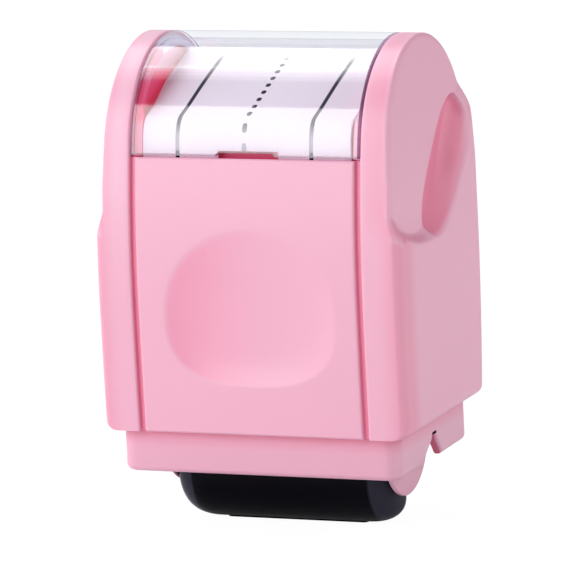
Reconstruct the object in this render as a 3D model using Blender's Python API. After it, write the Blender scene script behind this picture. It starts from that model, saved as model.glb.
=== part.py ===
"""Handwriting line roller stamp.

X runs along the stamping roller, Y from the front panel to the rear panel and Z up.
The origin is under the middle of the stamp, on the surface that it stands on.
Pressing the casing down on the inner frame drives two racks, which turn the shutter
away from the roller.  All lengths are in metres.
"""
import math

import bmesh
import bpy
from mathutils import Matrix, Vector

# Shared clearances
CLEARANCE = 0.0003
OVERRUN = 0.001

# Widths, from the printed lines outwards
LINE_SPACING = 0.0127
LINE_INSET = 0.0017
SLEEVE_HALF_LENGTH = LINE_SPACING + LINE_INSET
TYRE_WIDTH = 0.0020
TYRE_GAP = 0.0004
ROLLER_HALF_LENGTH = SLEEVE_HALF_LENGTH + TYRE_GAP + TYRE_WIDTH
GEAR_GAP = 0.0005
GEAR_INNER_X = ROLLER_HALF_LENGTH + GEAR_GAP
SHUTTER_END_SPACE = 0.0036
SHUTTER_HALF_LENGTH = ROLLER_HALF_LENGTH + SHUTTER_END_SPACE
EAR_GAP = 0.00045
EAR_INNER_X = SHUTTER_HALF_LENGTH + EAR_GAP
EAR_INSET = 0.00535
FRAME_HALF_WIDTH = EAR_INNER_X + EAR_INSET
SIDE_WALL = 0.0018
SIDE_GAP = 0.0006
CASING_HALF_WIDTH = FRAME_HALF_WIDTH + SIDE_GAP + SIDE_WALL
SHOULDER_STEP = 0.0020
ARCH_HALF_WIDTH = CASING_HALF_WIDTH - SHOULDER_STEP
RAIL_WIDTH = 0.0047
RAIL_INNER_X = ARCH_HALF_WIDTH - RAIL_WIDTH

# Casing outline, seen from the side
CASING_BOTTOM_Z = 0.0198
CROWN_RADIUS = 0.0200
CROWN_Y = 0.0010
CROWN_Z = 0.0687
FRONT_BULGE_Z = 0.0430
REAR_BULGE_Z = 0.0500
FRONT_BOTTOM_SETBACK = 0.0003
REAR_BOTTOM_SETBACK = 0.0017
FRONT_LEAN = math.radians(10)
REAR_LEAN = math.radians(2)

# Casing shells and panels
CASING_WALL = 0.0017
GROOVE_WIDTH = 0.0006
SHELL_ROUND = 0.0030
SHOULDER_FRONT_Z = 0.0560
SHOULDER_LOW_Z = 0.0530
SHOULDER_REAR_Z = 0.0700
SHOULDER_LOW_Y = -0.0040
STEP_Z = 0.0500
SLAB_BOTTOM_Z = 0.0580
LAP_SKIN = 0.0009
LAP_WIDTH = 0.0014
TONGUE_THICKNESS = 0.0005
FRONT_SEAM_Z = 0.0693
SEAM_GAP = 0.0003

# Finger hollows
DIMPLE_HALF_WIDTH = 0.0161
DIMPLE_HALF_HEIGHT = 0.0142
DIMPLE_DEPTH = 0.0009
DIMPLE_Z = 0.0427
SCOOP_HALF_LENGTH = 0.0165
SCOOP_HALF_WIDTH = 0.0058
SCOOP_DEPTH = 0.0024
SCOOP_Y = 0.0070
SCOOP_Z = 0.0660
SCOOP_SLOPE = math.radians(46)

# Window
WINDOW_THICKNESS = 0.0013
WINDOW_PIVOT_Z = 0.0704
BEAD_RADIUS = 0.0012
NOTCH_HALF_WIDTH = 0.0055
NOTCH_HEIGHT = 0.0010
NOTCH_CHAMFER = 0.0006
LEDGE_WIDTH = 0.0012
LEDGE_THICKNESS = 0.0012
PIN_RADIUS = 0.0005
PIN_INSIDE = 0.0035
PIN_OUTSIDE = 0.0030

# Card deck and card
DECK_INSET = 0.0018
DECK_HALF_WIDTH = RAIL_INNER_X - DECK_INSET
DECK_WALL = 0.0014
DECK_SIDE_GAP = 0.0004
DECK_BASE_HALF_WIDTH = ARCH_HALF_WIDTH - SIDE_WALL - DECK_SIDE_GAP
DECK_BASE_THICKNESS = 0.0016
DECK_FRONT_SHARE = -0.85
DECK_BEND_SHARES = (-0.82, 0.295)
DECK_FOLD_SHARES = (-0.71, 0.37)
DECK_RIDGE_SHARES = (0.375, 0.765)
DECK_REAR_SHARES = (0.725, 0.215)
CARD_INSET = 0.0005
CARD_HALF_WIDTH = DECK_HALF_WIDTH - CARD_INSET
CARD_THICKNESS = 0.0004
CARD_FRONT_RISE = 0.0040

# Casing screws
SCREW_RADIUS = 0.0006
SCREW_HEAD_RADIUS = 0.0012
SCREW_HEAD_HEIGHT = 0.0010
SCREW_INSET = 0.0013
SCREW_X = DECK_BASE_HALF_WIDTH - SCREW_INSET
SCREW_FRONT_SHARE = -0.65
SCREW_REAR_SHARE = 0.675
SCREW_BITE = 0.0036

# Inner frame
FRAME_BOTTOM_Z = 0.0119
FRAME_TOP_Z = 0.0420
FRAME_WALL = 0.0018
FRAME_CORNER = 0.0035
EAR_THICKNESS = 0.0016
EAR_RADIUS = 0.0130
EAR_Y = -0.0020
EAR_Z = 0.0180
EAR_REAR_Y = 0.0078
EAR_TOP_Z = 0.0250
EAR_SOCKET_DEPTH = 0.0010
ARCH_FRONT_Y = -0.0063
ARCH_REAR_Y = 0.0030
ARCH_TOP_Z = 0.0175
ARCH_TOP_FRONT_Y = -0.0020
ARCH_TOP_REAR_Y = 0.0006
ARCH_SHOULDER_Z = 0.0152

# Travel and return springs
TRAVEL = 0.0070
SPRING_INSET = 0.0037
SPRING_X = LINE_SPACING - SPRING_INSET
SPRING_RADIUS = 0.0032
SPRING_WIRE = 0.00035
SPRING_TURNS = 5
POST_RADIUS = 0.0022
POST_HEIGHT = 0.0042
STOP_RADIUS = 0.0009
STOP_HEAD_RADIUS = 0.0022
STOP_HEAD_HEIGHT = 0.0014
STOP_DEPTH = 0.0032

# Stamping roller
AXLE_Z = 0.0100
AXLE_RADIUS = 0.00125
CORE_RADIUS = 0.0060
SLEEVE_RADIUS = 0.0076
LINE_RADIUS = 0.0082
LINE_WIDTH = 0.0007
TYRE_CHAMFER = 0.0006
DASHES = 16
DASH_SHARE = 0.55

# Shutter
SHUTTER_RADIUS = 0.0100
SHUTTER_WALL = 0.0012
SHUTTER_END_ROUND = 0.0053
SHUTTER_FRONT_ANGLE = math.radians(-92)
SHUTTER_REAR_ANGLE = math.radians(54)
BOSS_PROUD = 0.0001
FOOT_INSET = 0.0011
FOOT_HALF_LENGTH = SHUTTER_HALF_LENGTH - SHUTTER_END_ROUND - FOOT_INSET
FOOT_HALF_WIDTH = 0.0040
FOOT_HEIGHT = 0.0010
GUARD_WALL = 0.0011
GUARD_GAP = 0.0004
GUARD_INSET = 0.0019
GUARD_HALF_LENGTH = SHUTTER_HALF_LENGTH - GUARD_INSET
GUARD_LOW_ANGLE = math.radians(50)
GUARD_HIGH_ANGLE = math.radians(112)
GUARD_RIB_Z = 0.0104
GUARD_RIB_HEIGHT = 0.0022

# Rack and pinion
PITCH_RADIUS = 0.0029
TEETH = 10
PRESSURE_ANGLE = math.radians(25)
ADDENDUM = 0.00042
DEDENDUM = 0.00060
BACKLASH = 0.00024
GEAR_WIDTH = 0.0014
HUB_RADIUS = 0.0022
RACK_DEPTH = 0.0016
RACK_END_Z = 0.0090
RACK_FOOT_HALF_WIDTH = 0.0030
RACK_FOOT_HEIGHT = 0.0016

# Ink roller and its cartridge
INK_WALL_GAP = 0.0005
INK_INSET = 0.0013
INK_HALF_LENGTH = ROLLER_HALF_LENGTH - INK_INSET
INK_AXLE_SHARE = 0.2
INK_ANGLE = math.radians(-125)
CARTRIDGE_REACH = 0.0010
CARTRIDGE_HALF_LENGTH = ROLLER_HALF_LENGTH + CARTRIDGE_REACH
CARTRIDGE_WALL = 0.0010
CARTRIDGE_TOP_GAP = 0.0017
CARTRIDGE_FRONT_ANGLE = math.radians(-112)
CARTRIDGE_REAR_ANGLE = math.radians(-147)
CARTRIDGE_GAP = 0.0003

# Mesh steps
CROWN_STEPS = 18
WALL_STEPS = 9
ROUND_STEPS = 32
SMALL_STEPS = 16
CORNER_STEPS = 4
END_STEPS = 5
SHUTTER_STEPS = 14
TURN_STEPS = 12
WIRE_SIDES = 6
FLANK_STEPS = 3

# Finishes: colour, roughness, metallic
FINISHES = {
    "pink_plastic": ((0.90, 0.47, 0.60), 0.35, 0.0),
    "deep_pink_plastic": ((0.72, 0.11, 0.24), 0.45, 0.0),
    "black_plastic": ((0.012, 0.010, 0.018), 0.20, 0.0),
    "clear_plastic": ((0.90, 0.92, 0.95), 0.08, 0.0),
    "white_plastic": ((0.80, 0.80, 0.80), 0.40, 0.0),
    "card": ((0.85, 0.80, 0.88), 0.70, 0.0),
    "rubber": ((0.10, 0.02, 0.04), 0.75, 0.0),
    "ink_foam": ((0.03, 0.03, 0.05), 0.90, 0.0),
    "steel": ((0.60, 0.60, 0.62), 0.25, 1.0),
}


def clear_scene():
    """Remove every object that the file opened with."""
    for item in list(bpy.data.objects):
        bpy.data.objects.remove(item, do_unlink=True)


def finish(name):
    """Return the named material, made the first time it is asked for."""
    material = bpy.data.materials.get(name)
    if material is None:
        colour, roughness, metallic = FINISHES[name]
        material = bpy.data.materials.new(name)
        material.use_nodes = True
        shader = material.node_tree.nodes["Principled BSDF"]
        shader.inputs["Base Color"].default_value = (*colour, 1.0)
        shader.inputs["Roughness"].default_value = roughness
        shader.inputs["Metallic"].default_value = metallic
        material.diffuse_color = (*colour, 1.0)
    return material


def carrier(name, point):
    """Add the empty that marks a joint's axis."""
    empty = bpy.data.objects.new(name, None)
    empty.location = point
    bpy.context.scene.collection.objects.link(empty)
    return empty


def link_mesh(name, shape, at=(0, 0, 0)):
    """Turn a bmesh in world coordinates into an object whose origin is at a point."""
    bmesh.ops.recalc_face_normals(shape, faces=shape.faces)
    bmesh.ops.translate(shape, verts=shape.verts, vec=-Vector(at))
    mesh = bpy.data.meshes.new(name)
    shape.to_mesh(mesh)
    shape.free()
    item = bpy.data.objects.new(name, mesh)
    item.location = at
    bpy.context.scene.collection.objects.link(item)
    return item


def piece(name, shape, material, parent=None):
    """Add a piece of the stamp, carried by the empty of its joint."""
    at = parent.location.copy() if parent else Vector((0, 0, 0))
    item = link_mesh(name, shape, at)
    item.data.materials.append(finish(material))
    item.data.shade_smooth()
    item.data.set_sharp_from_angle(angle=math.radians(30))
    if parent:
        item.parent = parent
        item.matrix_parent_inverse = Matrix.Translation(parent.location).inverted()
    return item


def combine(target, name, shape, operation):
    """Cut a shape out of a piece, or join it on, with a live Boolean."""
    tool = link_mesh(name, shape)
    tool.hide_render = True
    tool.display_type = "WIRE"
    modifier = target.modifiers.new(name, "BOOLEAN")
    modifier.operation = operation
    modifier.solver = "EXACT"
    modifier.object = tool


def cut(target, name, shape):
    combine(target, name, shape, "DIFFERENCE")


def join(target, name, shape):
    combine(target, name, shape, "UNION")


def skin(shape, rings, closed):
    """Join rings of vertices with faces; a ring of one vertex is a tip."""
    pairs = list(zip(rings, rings[1:]))
    if closed:
        pairs.append((rings[-1], rings[0]))
    for first, second in pairs:
        count = max(len(first), len(second))
        for i in range(count):
            j = (i + 1) % count
            corners = [first[i % len(first)], first[j % len(first)],
                       second[j % len(second)], second[i % len(second)]]
            distinct = list(dict.fromkeys(corners))
            shape.faces.new(distinct)


def lofted(sections):
    """A closed solid through rings of points, capped at both ends."""
    shape = bmesh.new()
    rings = [[shape.verts.new(point) for point in section] for section in sections]
    skin(shape, rings, closed=False)
    shape.faces.new(rings[0])
    shape.faces.new(rings[-1])
    return shape


def extruded(outline, x_low, x_high):
    """An outline of (y, z) points extruded along X."""
    return lofted([[(x, y, z) for y, z in outline] for x in (x_low, x_high)])


def hollow_extruded(outer, inner, x_low, x_high):
    """The space between two (y, z) outlines of as many points, extruded along X."""
    shape = bmesh.new()
    loops = ((outer, x_low), (outer, x_high), (inner, x_high), (inner, x_low))
    skin(shape, [[shape.verts.new((x, y, z)) for y, z in outline] for outline, x in loops], closed=True)
    return shape


def upright(outline, z_low, z_high):
    """An outline of (x, y) points extruded along Z."""
    return lofted([[(x, y, z) for x, y in outline] for z in (z_low, z_high)])


def block(low, high):
    """A box between two corners."""
    return upright([(low[0], low[1]), (high[0], low[1]), (high[0], high[1]), (low[0], high[1])],
                   low[2], high[2])


def circle(centre, radius, steps):
    """Points round a circle, as pairs."""
    turns = [math.tau * i / steps for i in range(steps)]
    return [(centre[0] + radius * math.cos(t), centre[1] + radius * math.sin(t)) for t in turns]


def bar(centre_yz, radius, x_low, x_high, steps=SMALL_STEPS):
    """A round bar along X."""
    return extruded(circle(centre_yz, radius, steps), x_low, x_high)


def stud(centre_xy, radius, z_low, z_high, steps=SMALL_STEPS):
    """A round bar along Z."""
    return upright(circle(centre_xy, radius, steps), z_low, z_high)


def turned(profile, centre_yz, steps=ROUND_STEPS):
    """A closed loop of (x, radius) points turned once round an axis along X."""
    shape = bmesh.new()
    rings = []
    for i in range(steps):
        turn = math.tau * i / steps
        rings.append([shape.verts.new((x, centre_yz[0] + r * math.sin(turn),
                                       centre_yz[1] - r * math.cos(turn))) for x, r in profile])
    skin(shape, rings, closed=True)
    return shape


def sector(profile, centre_yz, start, end, steps):
    """A closed loop of (x, radius) points turned part of the way; angle 0 points down."""
    turns = [start + (end - start) * i / steps for i in range(steps + 1)]
    return lofted([[(x, centre_yz[0] + r * math.sin(t), centre_yz[1] - r * math.cos(t))
                    for x, r in profile] for t in turns])


def polar(radius, angle):
    """A (y, z) point about the roller axle; angle 0 points down and -90 degrees forward."""
    return radius * math.sin(angle), AXLE_Z - radius * math.cos(angle)


def front_join_z():
    return CROWN_Z + CROWN_RADIUS * math.sin(FRONT_LEAN)


def rear_join_z():
    return CROWN_Z + CROWN_RADIUS * math.sin(REAR_LEAN)


def crown_reach(z):
    """Half depth of the crown's circle at a height."""
    return math.sqrt(CROWN_RADIUS ** 2 - (z - CROWN_Z) ** 2)


def front_y(z):
    """The front face: a parabola that meets the crown in line with it."""
    if z > front_join_z():
        return CROWN_Y - crown_reach(z)
    reach = front_join_z() - FRONT_BULGE_Z
    top_setback = reach * math.tan(FRONT_LEAN) / 2
    bulge_y = CROWN_Y - CROWN_RADIUS * math.cos(FRONT_LEAN) - top_setback
    if z > FRONT_BULGE_Z:
        return bulge_y + top_setback * ((z - FRONT_BULGE_Z) / reach) ** 2
    share = (FRONT_BULGE_Z - z) / (FRONT_BULGE_Z - CASING_BOTTOM_Z)
    return bulge_y + FRONT_BOTTOM_SETBACK * share ** 2


def rear_y(z):
    """The rear face, worked out as the front one is."""
    if z > rear_join_z():
        return CROWN_Y + crown_reach(z)
    reach = rear_join_z() - REAR_BULGE_Z
    top_setback = reach * math.tan(REAR_LEAN) / 2
    bulge_y = CROWN_Y + CROWN_RADIUS * math.cos(REAR_LEAN) + top_setback
    if z > REAR_BULGE_Z:
        return bulge_y - top_setback * ((z - REAR_BULGE_Z) / reach) ** 2
    share = (REAR_BULGE_Z - z) / (REAR_BULGE_Z - CASING_BOTTOM_Z)
    return bulge_y - REAR_BOTTOM_SETBACK * share ** 2


def stations(points):
    """Add to each point of a path the inward normal there."""
    result = []
    for i, (y, z) in enumerate(points):
        before = points[max(i - 1, 0)]
        after = points[min(i + 1, len(points) - 1)]
        along = Vector((after[0] - before[0], after[1] - before[1])).normalized()
        result.append((y, z, along.y, -along.x))
    return result


def wall_path(side_y, z_low, z_high):
    """Points up the front or rear face."""
    heights = [z_low + (z_high - z_low) * i / WALL_STEPS for i in range(WALL_STEPS + 1)]
    return [(side_y(z), z) for z in heights]


def crown_path(front_z, rear_z):
    """Points from the front face over the crown and down to the rear face."""
    start = math.pi - FRONT_LEAN
    turns = [start + (REAR_LEAN - start) * i / CROWN_STEPS for i in range(CROWN_STEPS + 1)]
    crown = [(CROWN_Y + CROWN_RADIUS * math.cos(t), CROWN_Z + CROWN_RADIUS * math.sin(t)) for t in turns]
    kept = [(y, z) for y, z in crown if z > (front_z if y < CROWN_Y else rear_z)]
    return [(front_y(front_z), front_z)] + kept + [(rear_y(rear_z), rear_z)]


def casing_outline(inset=0.0, z_low=CASING_BOTTOM_Z):
    """The whole side outline, front bottom over the crown to rear bottom, moved inwards."""
    front = wall_path(front_y, z_low, front_join_z())
    rear = wall_path(rear_y, z_low, rear_join_z())
    path = front[:-1] + crown_path(front_join_z(), rear_join_z()) + rear[-2::-1]
    return [(y + inset * ny, z + inset * nz) for y, z, ny, nz in stations(path)]


def swept(section, points):
    """A section of (x, depth) points carried along a path on the casing's surface."""
    return lofted([[(x, y + depth * ny, z + depth * nz) for x, depth in section]
                   for y, z, ny, nz in stations(points)])


def rounded_outer_edge(shape, x_outer, width):
    """Round the long edges of a side shell where it turns from rim to side."""
    near = OVERRUN / 1000
    edges = [edge for edge in shape.edges
             if all(abs(vert.co.x - x_outer) < near for vert in edge.verts)
             and any(vert.co.z > CASING_BOTTOM_Z + near for vert in edge.verts)]
    bmesh.ops.bevel(shape, geom=edges, offset=width, segments=CORNER_STEPS, profile=0.5,
                    affect="EDGES", clamp_overlap=True)


def shoulder(y):
    """Height of the shoulder where the side narrows to the arch."""
    front = front_y(SHOULDER_FRONT_Z)
    rear = rear_y(SHOULDER_REAR_Z)
    if y < SHOULDER_LOW_Y:
        share = (SHOULDER_LOW_Y - y) / (SHOULDER_LOW_Y - front)
        return SHOULDER_LOW_Z + (SHOULDER_FRONT_Z - SHOULDER_LOW_Z) * share ** 2
    share = (y - SHOULDER_LOW_Y) / (rear - SHOULDER_LOW_Y)
    return SHOULDER_LOW_Z + (SHOULDER_REAR_Z - SHOULDER_LOW_Z) * share ** 1.4


def lower_side_outline():
    """The wide lower part of a side shell, under the shoulder."""
    front = wall_path(front_y, CASING_BOTTOM_Z, SHOULDER_FRONT_Z)
    rear = wall_path(rear_y, CASING_BOTTOM_Z, SHOULDER_REAR_Z)
    start, end = front[-1][0], rear[-1][0]
    steps = 2 * WALL_STEPS
    between = [start + (end - start) * i / steps for i in range(1, steps)]
    return front + [(y, shoulder(y)) for y in between] + rear[::-1]


def side_shell(name, side, casing):
    """One side of the casing: rim, side wall, thick arch with its finger hollow, window ledge."""
    arch = extruded(casing_outline(), RAIL_INNER_X, ARCH_HALF_WIDTH)
    rounded_outer_edge(arch, ARCH_HALF_WIDTH, SHELL_ROUND)
    lower = extruded(lower_side_outline(), RAIL_INNER_X, CASING_HALF_WIDTH)
    rounded_outer_edge(lower, CASING_HALF_WIDTH, SHELL_ROUND)
    shell = piece(name, mirrored(arch, side), "pink_plastic", casing)
    join(shell, name + "_lower", mirrored(lower, side))

    inside = casing_outline(CASING_WALL, CASING_BOTTOM_Z - OVERRUN)
    below_step = clipped(inside, STEP_Z)
    below_slab = clipped(inside, SLAB_BOTTOM_Z)
    wide = extruded(below_step, RAIL_INNER_X - OVERRUN, CASING_HALF_WIDTH - SIDE_WALL)
    narrow = extruded(below_slab, RAIL_INNER_X - OVERRUN, ARCH_HALF_WIDTH - SIDE_WALL)
    cut(shell, name + "_wide_hollow", mirrored(wide, side))
    cut(shell, name + "_narrow_hollow", mirrored(narrow, side))

    through = CASING_WALL + CLEARANCE
    lap = [(RAIL_INNER_X - OVERRUN, LAP_SKIN), (RAIL_INNER_X + LAP_WIDTH, LAP_SKIN),
           (RAIL_INNER_X + LAP_WIDTH, through), (RAIL_INNER_X - OVERRUN, through)]
    bottom = CASING_BOTTOM_Z - OVERRUN
    cut(shell, name + "_front_lap", mirrored(swept(lap, wall_path(front_y, bottom, FRONT_SEAM_Z)), side))
    rear_lap = swept(lap, wall_path(rear_y, bottom, rear_seam_z())[::-1])
    cut(shell, name + "_rear_lap", mirrored(rear_lap, side))

    cut(shell, name + "_scoop", mirrored(scoop_cutter(), side))
    pin_hole = bar(window_pivot(), PIN_RADIUS + CLEARANCE, RAIL_INNER_X - OVERRUN,
                   RAIL_INNER_X + PIN_OUTSIDE + CLEARANCE)
    cut(shell, name + "_pin_hole", mirrored(pin_hole, side))
    for y in screw_rows():
        hole = stud((SCREW_X, y), SCREW_RADIUS + CLEARANCE, SLAB_BOTTOM_Z - OVERRUN,
                    SLAB_BOTTOM_Z + SCREW_BITE + CLEARANCE)
        cut(shell, name + "_screw_hole", mirrored(hole, side))

    near, far = RAIL_INNER_X - LEDGE_WIDTH, RAIL_INNER_X + OVERRUN
    top = WINDOW_THICKNESS + CLEARANCE
    ledge = [(near, top), (far, top), (far, top + LEDGE_THICKNESS), (near, top + LEDGE_THICKNESS)]
    join(shell, name + "_ledge", mirrored(swept(ledge, ledge_path()), side))


def mirrored(shape, side):
    """Turn a right-hand shape into a left-hand one where side is -1."""
    if side < 0:
        bmesh.ops.scale(shape, verts=shape.verts, vec=(-1, 1, 1))
        bmesh.ops.reverse_faces(shape, faces=shape.faces)
    return shape


def clipped(outline, z_high):
    """The part of a front-to-rear outline below a height, closed straight across."""
    front = [point for point in outline if point[0] < CROWN_Y and point[1] < z_high]
    rear = [point for point in outline if point[0] > CROWN_Y and point[1] < z_high]
    return front + [(front[-1][0], z_high), (rear[0][0], z_high)] + rear


def rear_seam_z():
    """Top of the rear panel, just under the window's bead."""
    return WINDOW_PIVOT_Z - BEAD_RADIUS - SEAM_GAP


def window_pivot():
    """The (y, z) point that the window swings about."""
    return rear_y(WINDOW_PIVOT_Z) - BEAD_RADIUS, WINDOW_PIVOT_Z


def window_path():
    return crown_path(FRONT_SEAM_Z + SEAM_GAP, WINDOW_PIVOT_Z)


def ledge_path():
    """The stretch of the crown on which the window's sides rest."""
    clear = WINDOW_PIVOT_Z + BEAD_RADIUS + OVERRUN
    return [point for point in window_path() if point[0] < CROWN_Y or point[1] > clear]


def scoop_cutter():
    """A slanted oval hollow for a finger, as a stretched ball half in the arch."""
    shape = bmesh.new()
    bmesh.ops.create_uvsphere(shape, u_segments=20, v_segments=12, radius=1)
    size = Matrix.Diagonal((SCOOP_DEPTH, SCOOP_HALF_LENGTH, SCOOP_HALF_WIDTH, 1))
    turn = Matrix.Rotation(SCOOP_SLOPE, 4, "X")
    place = Matrix.Translation((ARCH_HALF_WIDTH, SCOOP_Y, SCOOP_Z))
    bmesh.ops.transform(shape, verts=shape.verts, matrix=place @ turn @ size)
    return shape


def dimple_cutter(side_y):
    """A shallow stretched ball that hollows a panel."""
    shape = bmesh.new()
    bmesh.ops.create_uvsphere(shape, u_segments=28, v_segments=20, radius=1)
    size = Matrix.Diagonal((DIMPLE_HALF_WIDTH, DIMPLE_DEPTH, DIMPLE_HALF_HEIGHT, 1))
    place = Matrix.Translation((0, side_y(DIMPLE_Z), DIMPLE_Z))
    bmesh.ops.transform(shape, verts=shape.verts, matrix=place @ size)
    return shape


def panel_section():
    """Panel across the stamp, with a thin tongue behind each rail."""
    edge = RAIL_INNER_X - GROOVE_WIDTH
    tongue = RAIL_INNER_X + LAP_WIDTH - CLEARANCE
    step = CASING_WALL - TONGUE_THICKNESS
    return [(-edge, 0), (edge, 0), (edge, step), (tongue, step), (tongue, CASING_WALL),
            (-tongue, CASING_WALL), (-tongue, step), (-edge, step)]


def panel(name, side_y, way, top_z, casing):
    """Panel with its thumb hollow; way is -1 at the front and 1 at the rear."""
    path = wall_path(side_y, CASING_BOTTOM_Z, top_z)
    if way > 0:
        path = path[::-1]
    item = piece(name, swept(panel_section(), path), "pink_plastic", casing)
    cut(item, name + "_dimple", dimple_cutter(side_y))


def window(lid):
    """Clear lid with a bead along its rear edge and a pry notch in its front edge."""
    edge = RAIL_INNER_X - GROOVE_WIDTH
    section = [(-edge, 0), (edge, 0), (edge, WINDOW_THICKNESS), (-edge, WINDOW_THICKNESS)]
    item = piece("window", swept(section, window_path()), "clear_plastic", lid)
    join(item, "window_bead", bar(window_pivot(), BEAD_RADIUS, -edge, edge))
    low = FRONT_SEAM_Z - OVERRUN
    top = FRONT_SEAM_Z + SEAM_GAP + NOTCH_HEIGHT
    wide, narrow = NOTCH_HALF_WIDTH, NOTCH_HALF_WIDTH - NOTCH_CHAMFER
    outer = front_y(FRONT_SEAM_Z) - OVERRUN
    inner = outer + WINDOW_THICKNESS + 2 * OVERRUN
    outline = [(-wide, low), (wide, low), (narrow, top), (-narrow, top)]
    cut(item, "window_notch", lofted([[(x, y, z) for x, z in outline] for y in (outer, inner)]))
    for side in (-1, 1):
        hole = bar(window_pivot(), PIN_RADIUS + CLEARANCE, edge - PIN_INSIDE - CLEARANCE, edge + OVERRUN)
        cut(item, "window_pin_hole", mirrored(hole, side))


def hinge_pin(name, side, casing):
    inner = RAIL_INNER_X - GROOVE_WIDTH - PIN_INSIDE
    pin = bar(window_pivot(), PIN_RADIUS, inner, RAIL_INNER_X + PIN_OUTSIDE, TURN_STEPS)
    piece(name, mirrored(pin, side), "steel", casing)


def screw_rows():
    """Y of the front and rear casing screws."""
    return [CROWN_Y + CROWN_RADIUS * share for share in (SCREW_FRONT_SHARE, SCREW_REAR_SHARE)]


def deck_base_top():
    return SLAB_BOTTOM_Z - CLEARANCE


def deck_base_bottom():
    return deck_base_top() - DECK_BASE_THICKNESS


def in_crown(shares):
    """A (y, z) point given as shares of the crown's radius from its centre."""
    return CROWN_Y + CROWN_RADIUS * shares[0], CROWN_Z + CROWN_RADIUS * shares[1]


def deck_front_y():
    return CROWN_Y + CROWN_RADIUS * DECK_FRONT_SHARE


def deck_surface(rise=0.0):
    """The stretch of the deck that the card lies on, lifted along its normals."""
    corners = (DECK_BEND_SHARES, DECK_FOLD_SHARES, DECK_RIDGE_SHARES, DECK_REAR_SHARES)
    path = [(deck_front_y(), SLAB_BOTTOM_Z + CARD_FRONT_RISE)] + [in_crown(shares) for shares in corners]
    return [(y - rise * ny, z - rise * nz) for y, z, ny, nz in stations(path)]


def card_deck(casing):
    """Hollow platform under the window: base plate, cheeks and sloping top."""
    top = deck_surface()
    low = deck_base_bottom()
    front = deck_front_y()
    rear, rear_z = in_crown(DECK_REAR_SHARES)
    outline = [(front, low)] + top + [(rear, low)]
    item = piece("card_deck", extruded(outline, -DECK_HALF_WIDTH, DECK_HALF_WIDTH),
                 "deep_pink_plastic", casing)
    inner = deck_surface(-DECK_WALL)
    floor = deck_base_top()
    open_end = [(rear + OVERRUN, z) for z in (rear_z - DECK_WALL, floor)]
    hollow = [(inner[0][0], floor)] + inner[:-1] + open_end
    side = DECK_HALF_WIDTH - DECK_WALL
    cut(item, "deck_hollow", extruded(hollow, -side, side))
    plate = block((-DECK_BASE_HALF_WIDTH, front + OVERRUN, low),
                  (DECK_BASE_HALF_WIDTH, rear + OVERRUN, floor))
    join(item, "deck_plate", plate)
    for x in (-SPRING_X, SPRING_X):
        cut(item, "stop_hole", stud((x, 0), STOP_RADIUS + CLEARANCE, low - OVERRUN, floor + OVERRUN))
    for x in (-SCREW_X, SCREW_X):
        for y in screw_rows():
            cut(item, "deck_screw_hole",
                stud((x, y), SCREW_RADIUS + CLEARANCE, low - OVERRUN, floor + OVERRUN))


def label_card(casing):
    """Printed card bent over the deck."""
    section = [(-CARD_HALF_WIDTH, 0), (CARD_HALF_WIDTH, 0),
               (CARD_HALF_WIDTH, CARD_THICKNESS), (-CARD_HALF_WIDTH, CARD_THICKNESS)]
    path = deck_surface(CLEARANCE + CARD_THICKNESS)
    piece("label_card", swept(section, path), "card", casing)


def screw(name, centre, head_low, head_radius, head_height, shaft_radius, shaft_end, parent):
    """A plain screw along Z; the shaft leaves the head towards its end."""
    head = stud(centre, head_radius, head_low, head_low + head_height)
    item = piece(name, head, "steel", parent)
    middle = head_low + head_height / 2
    join(item, name + "_shaft", stud(centre, shaft_radius, min(middle, shaft_end), max(middle, shaft_end),
                                     TURN_STEPS))


def frame_front_y():
    return front_y(CASING_BOTTOM_Z) + CASING_WALL + CLEARANCE


def frame_rear_y():
    return rear_y(CASING_BOTTOM_Z) - CASING_WALL - CLEARANCE


def frame_outline(inset):
    """Rounded rectangle of the inner frame, seen from above."""
    x = FRAME_HALF_WIDTH - inset
    front, rear = frame_front_y() + inset, frame_rear_y() - inset
    radius = FRAME_CORNER - inset
    corners = [(x - radius, rear - radius, 0), (-x + radius, rear - radius, 1),
               (-x + radius, front + radius, 2), (x - radius, front + radius, 3)]
    points = []
    for cx, cy, quarter in corners:
        for i in range(CORNER_STEPS + 1):
            turn = math.pi / 2 * (quarter + i / CORNER_STEPS)
            points.append((cx + radius * math.cos(turn), cy + radius * math.sin(turn)))
    return points


def ear_outline():
    """Lobe of an ear: a wide arc at the bottom, cut off upright behind the roller."""
    last = math.asin((EAR_REAR_Y - EAR_Y) / EAR_RADIUS)
    steps = ROUND_STEPS // 2
    turns = [(last + math.pi / 2) * i / steps - math.pi / 2 for i in range(steps + 1)]
    arc = [(EAR_Y + EAR_RADIUS * math.sin(turn), EAR_Z - EAR_RADIUS * math.cos(turn)) for turn in turns]
    return arc + [(EAR_REAR_Y, EAR_TOP_Z), (arc[0][0], EAR_TOP_Z)]


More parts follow.
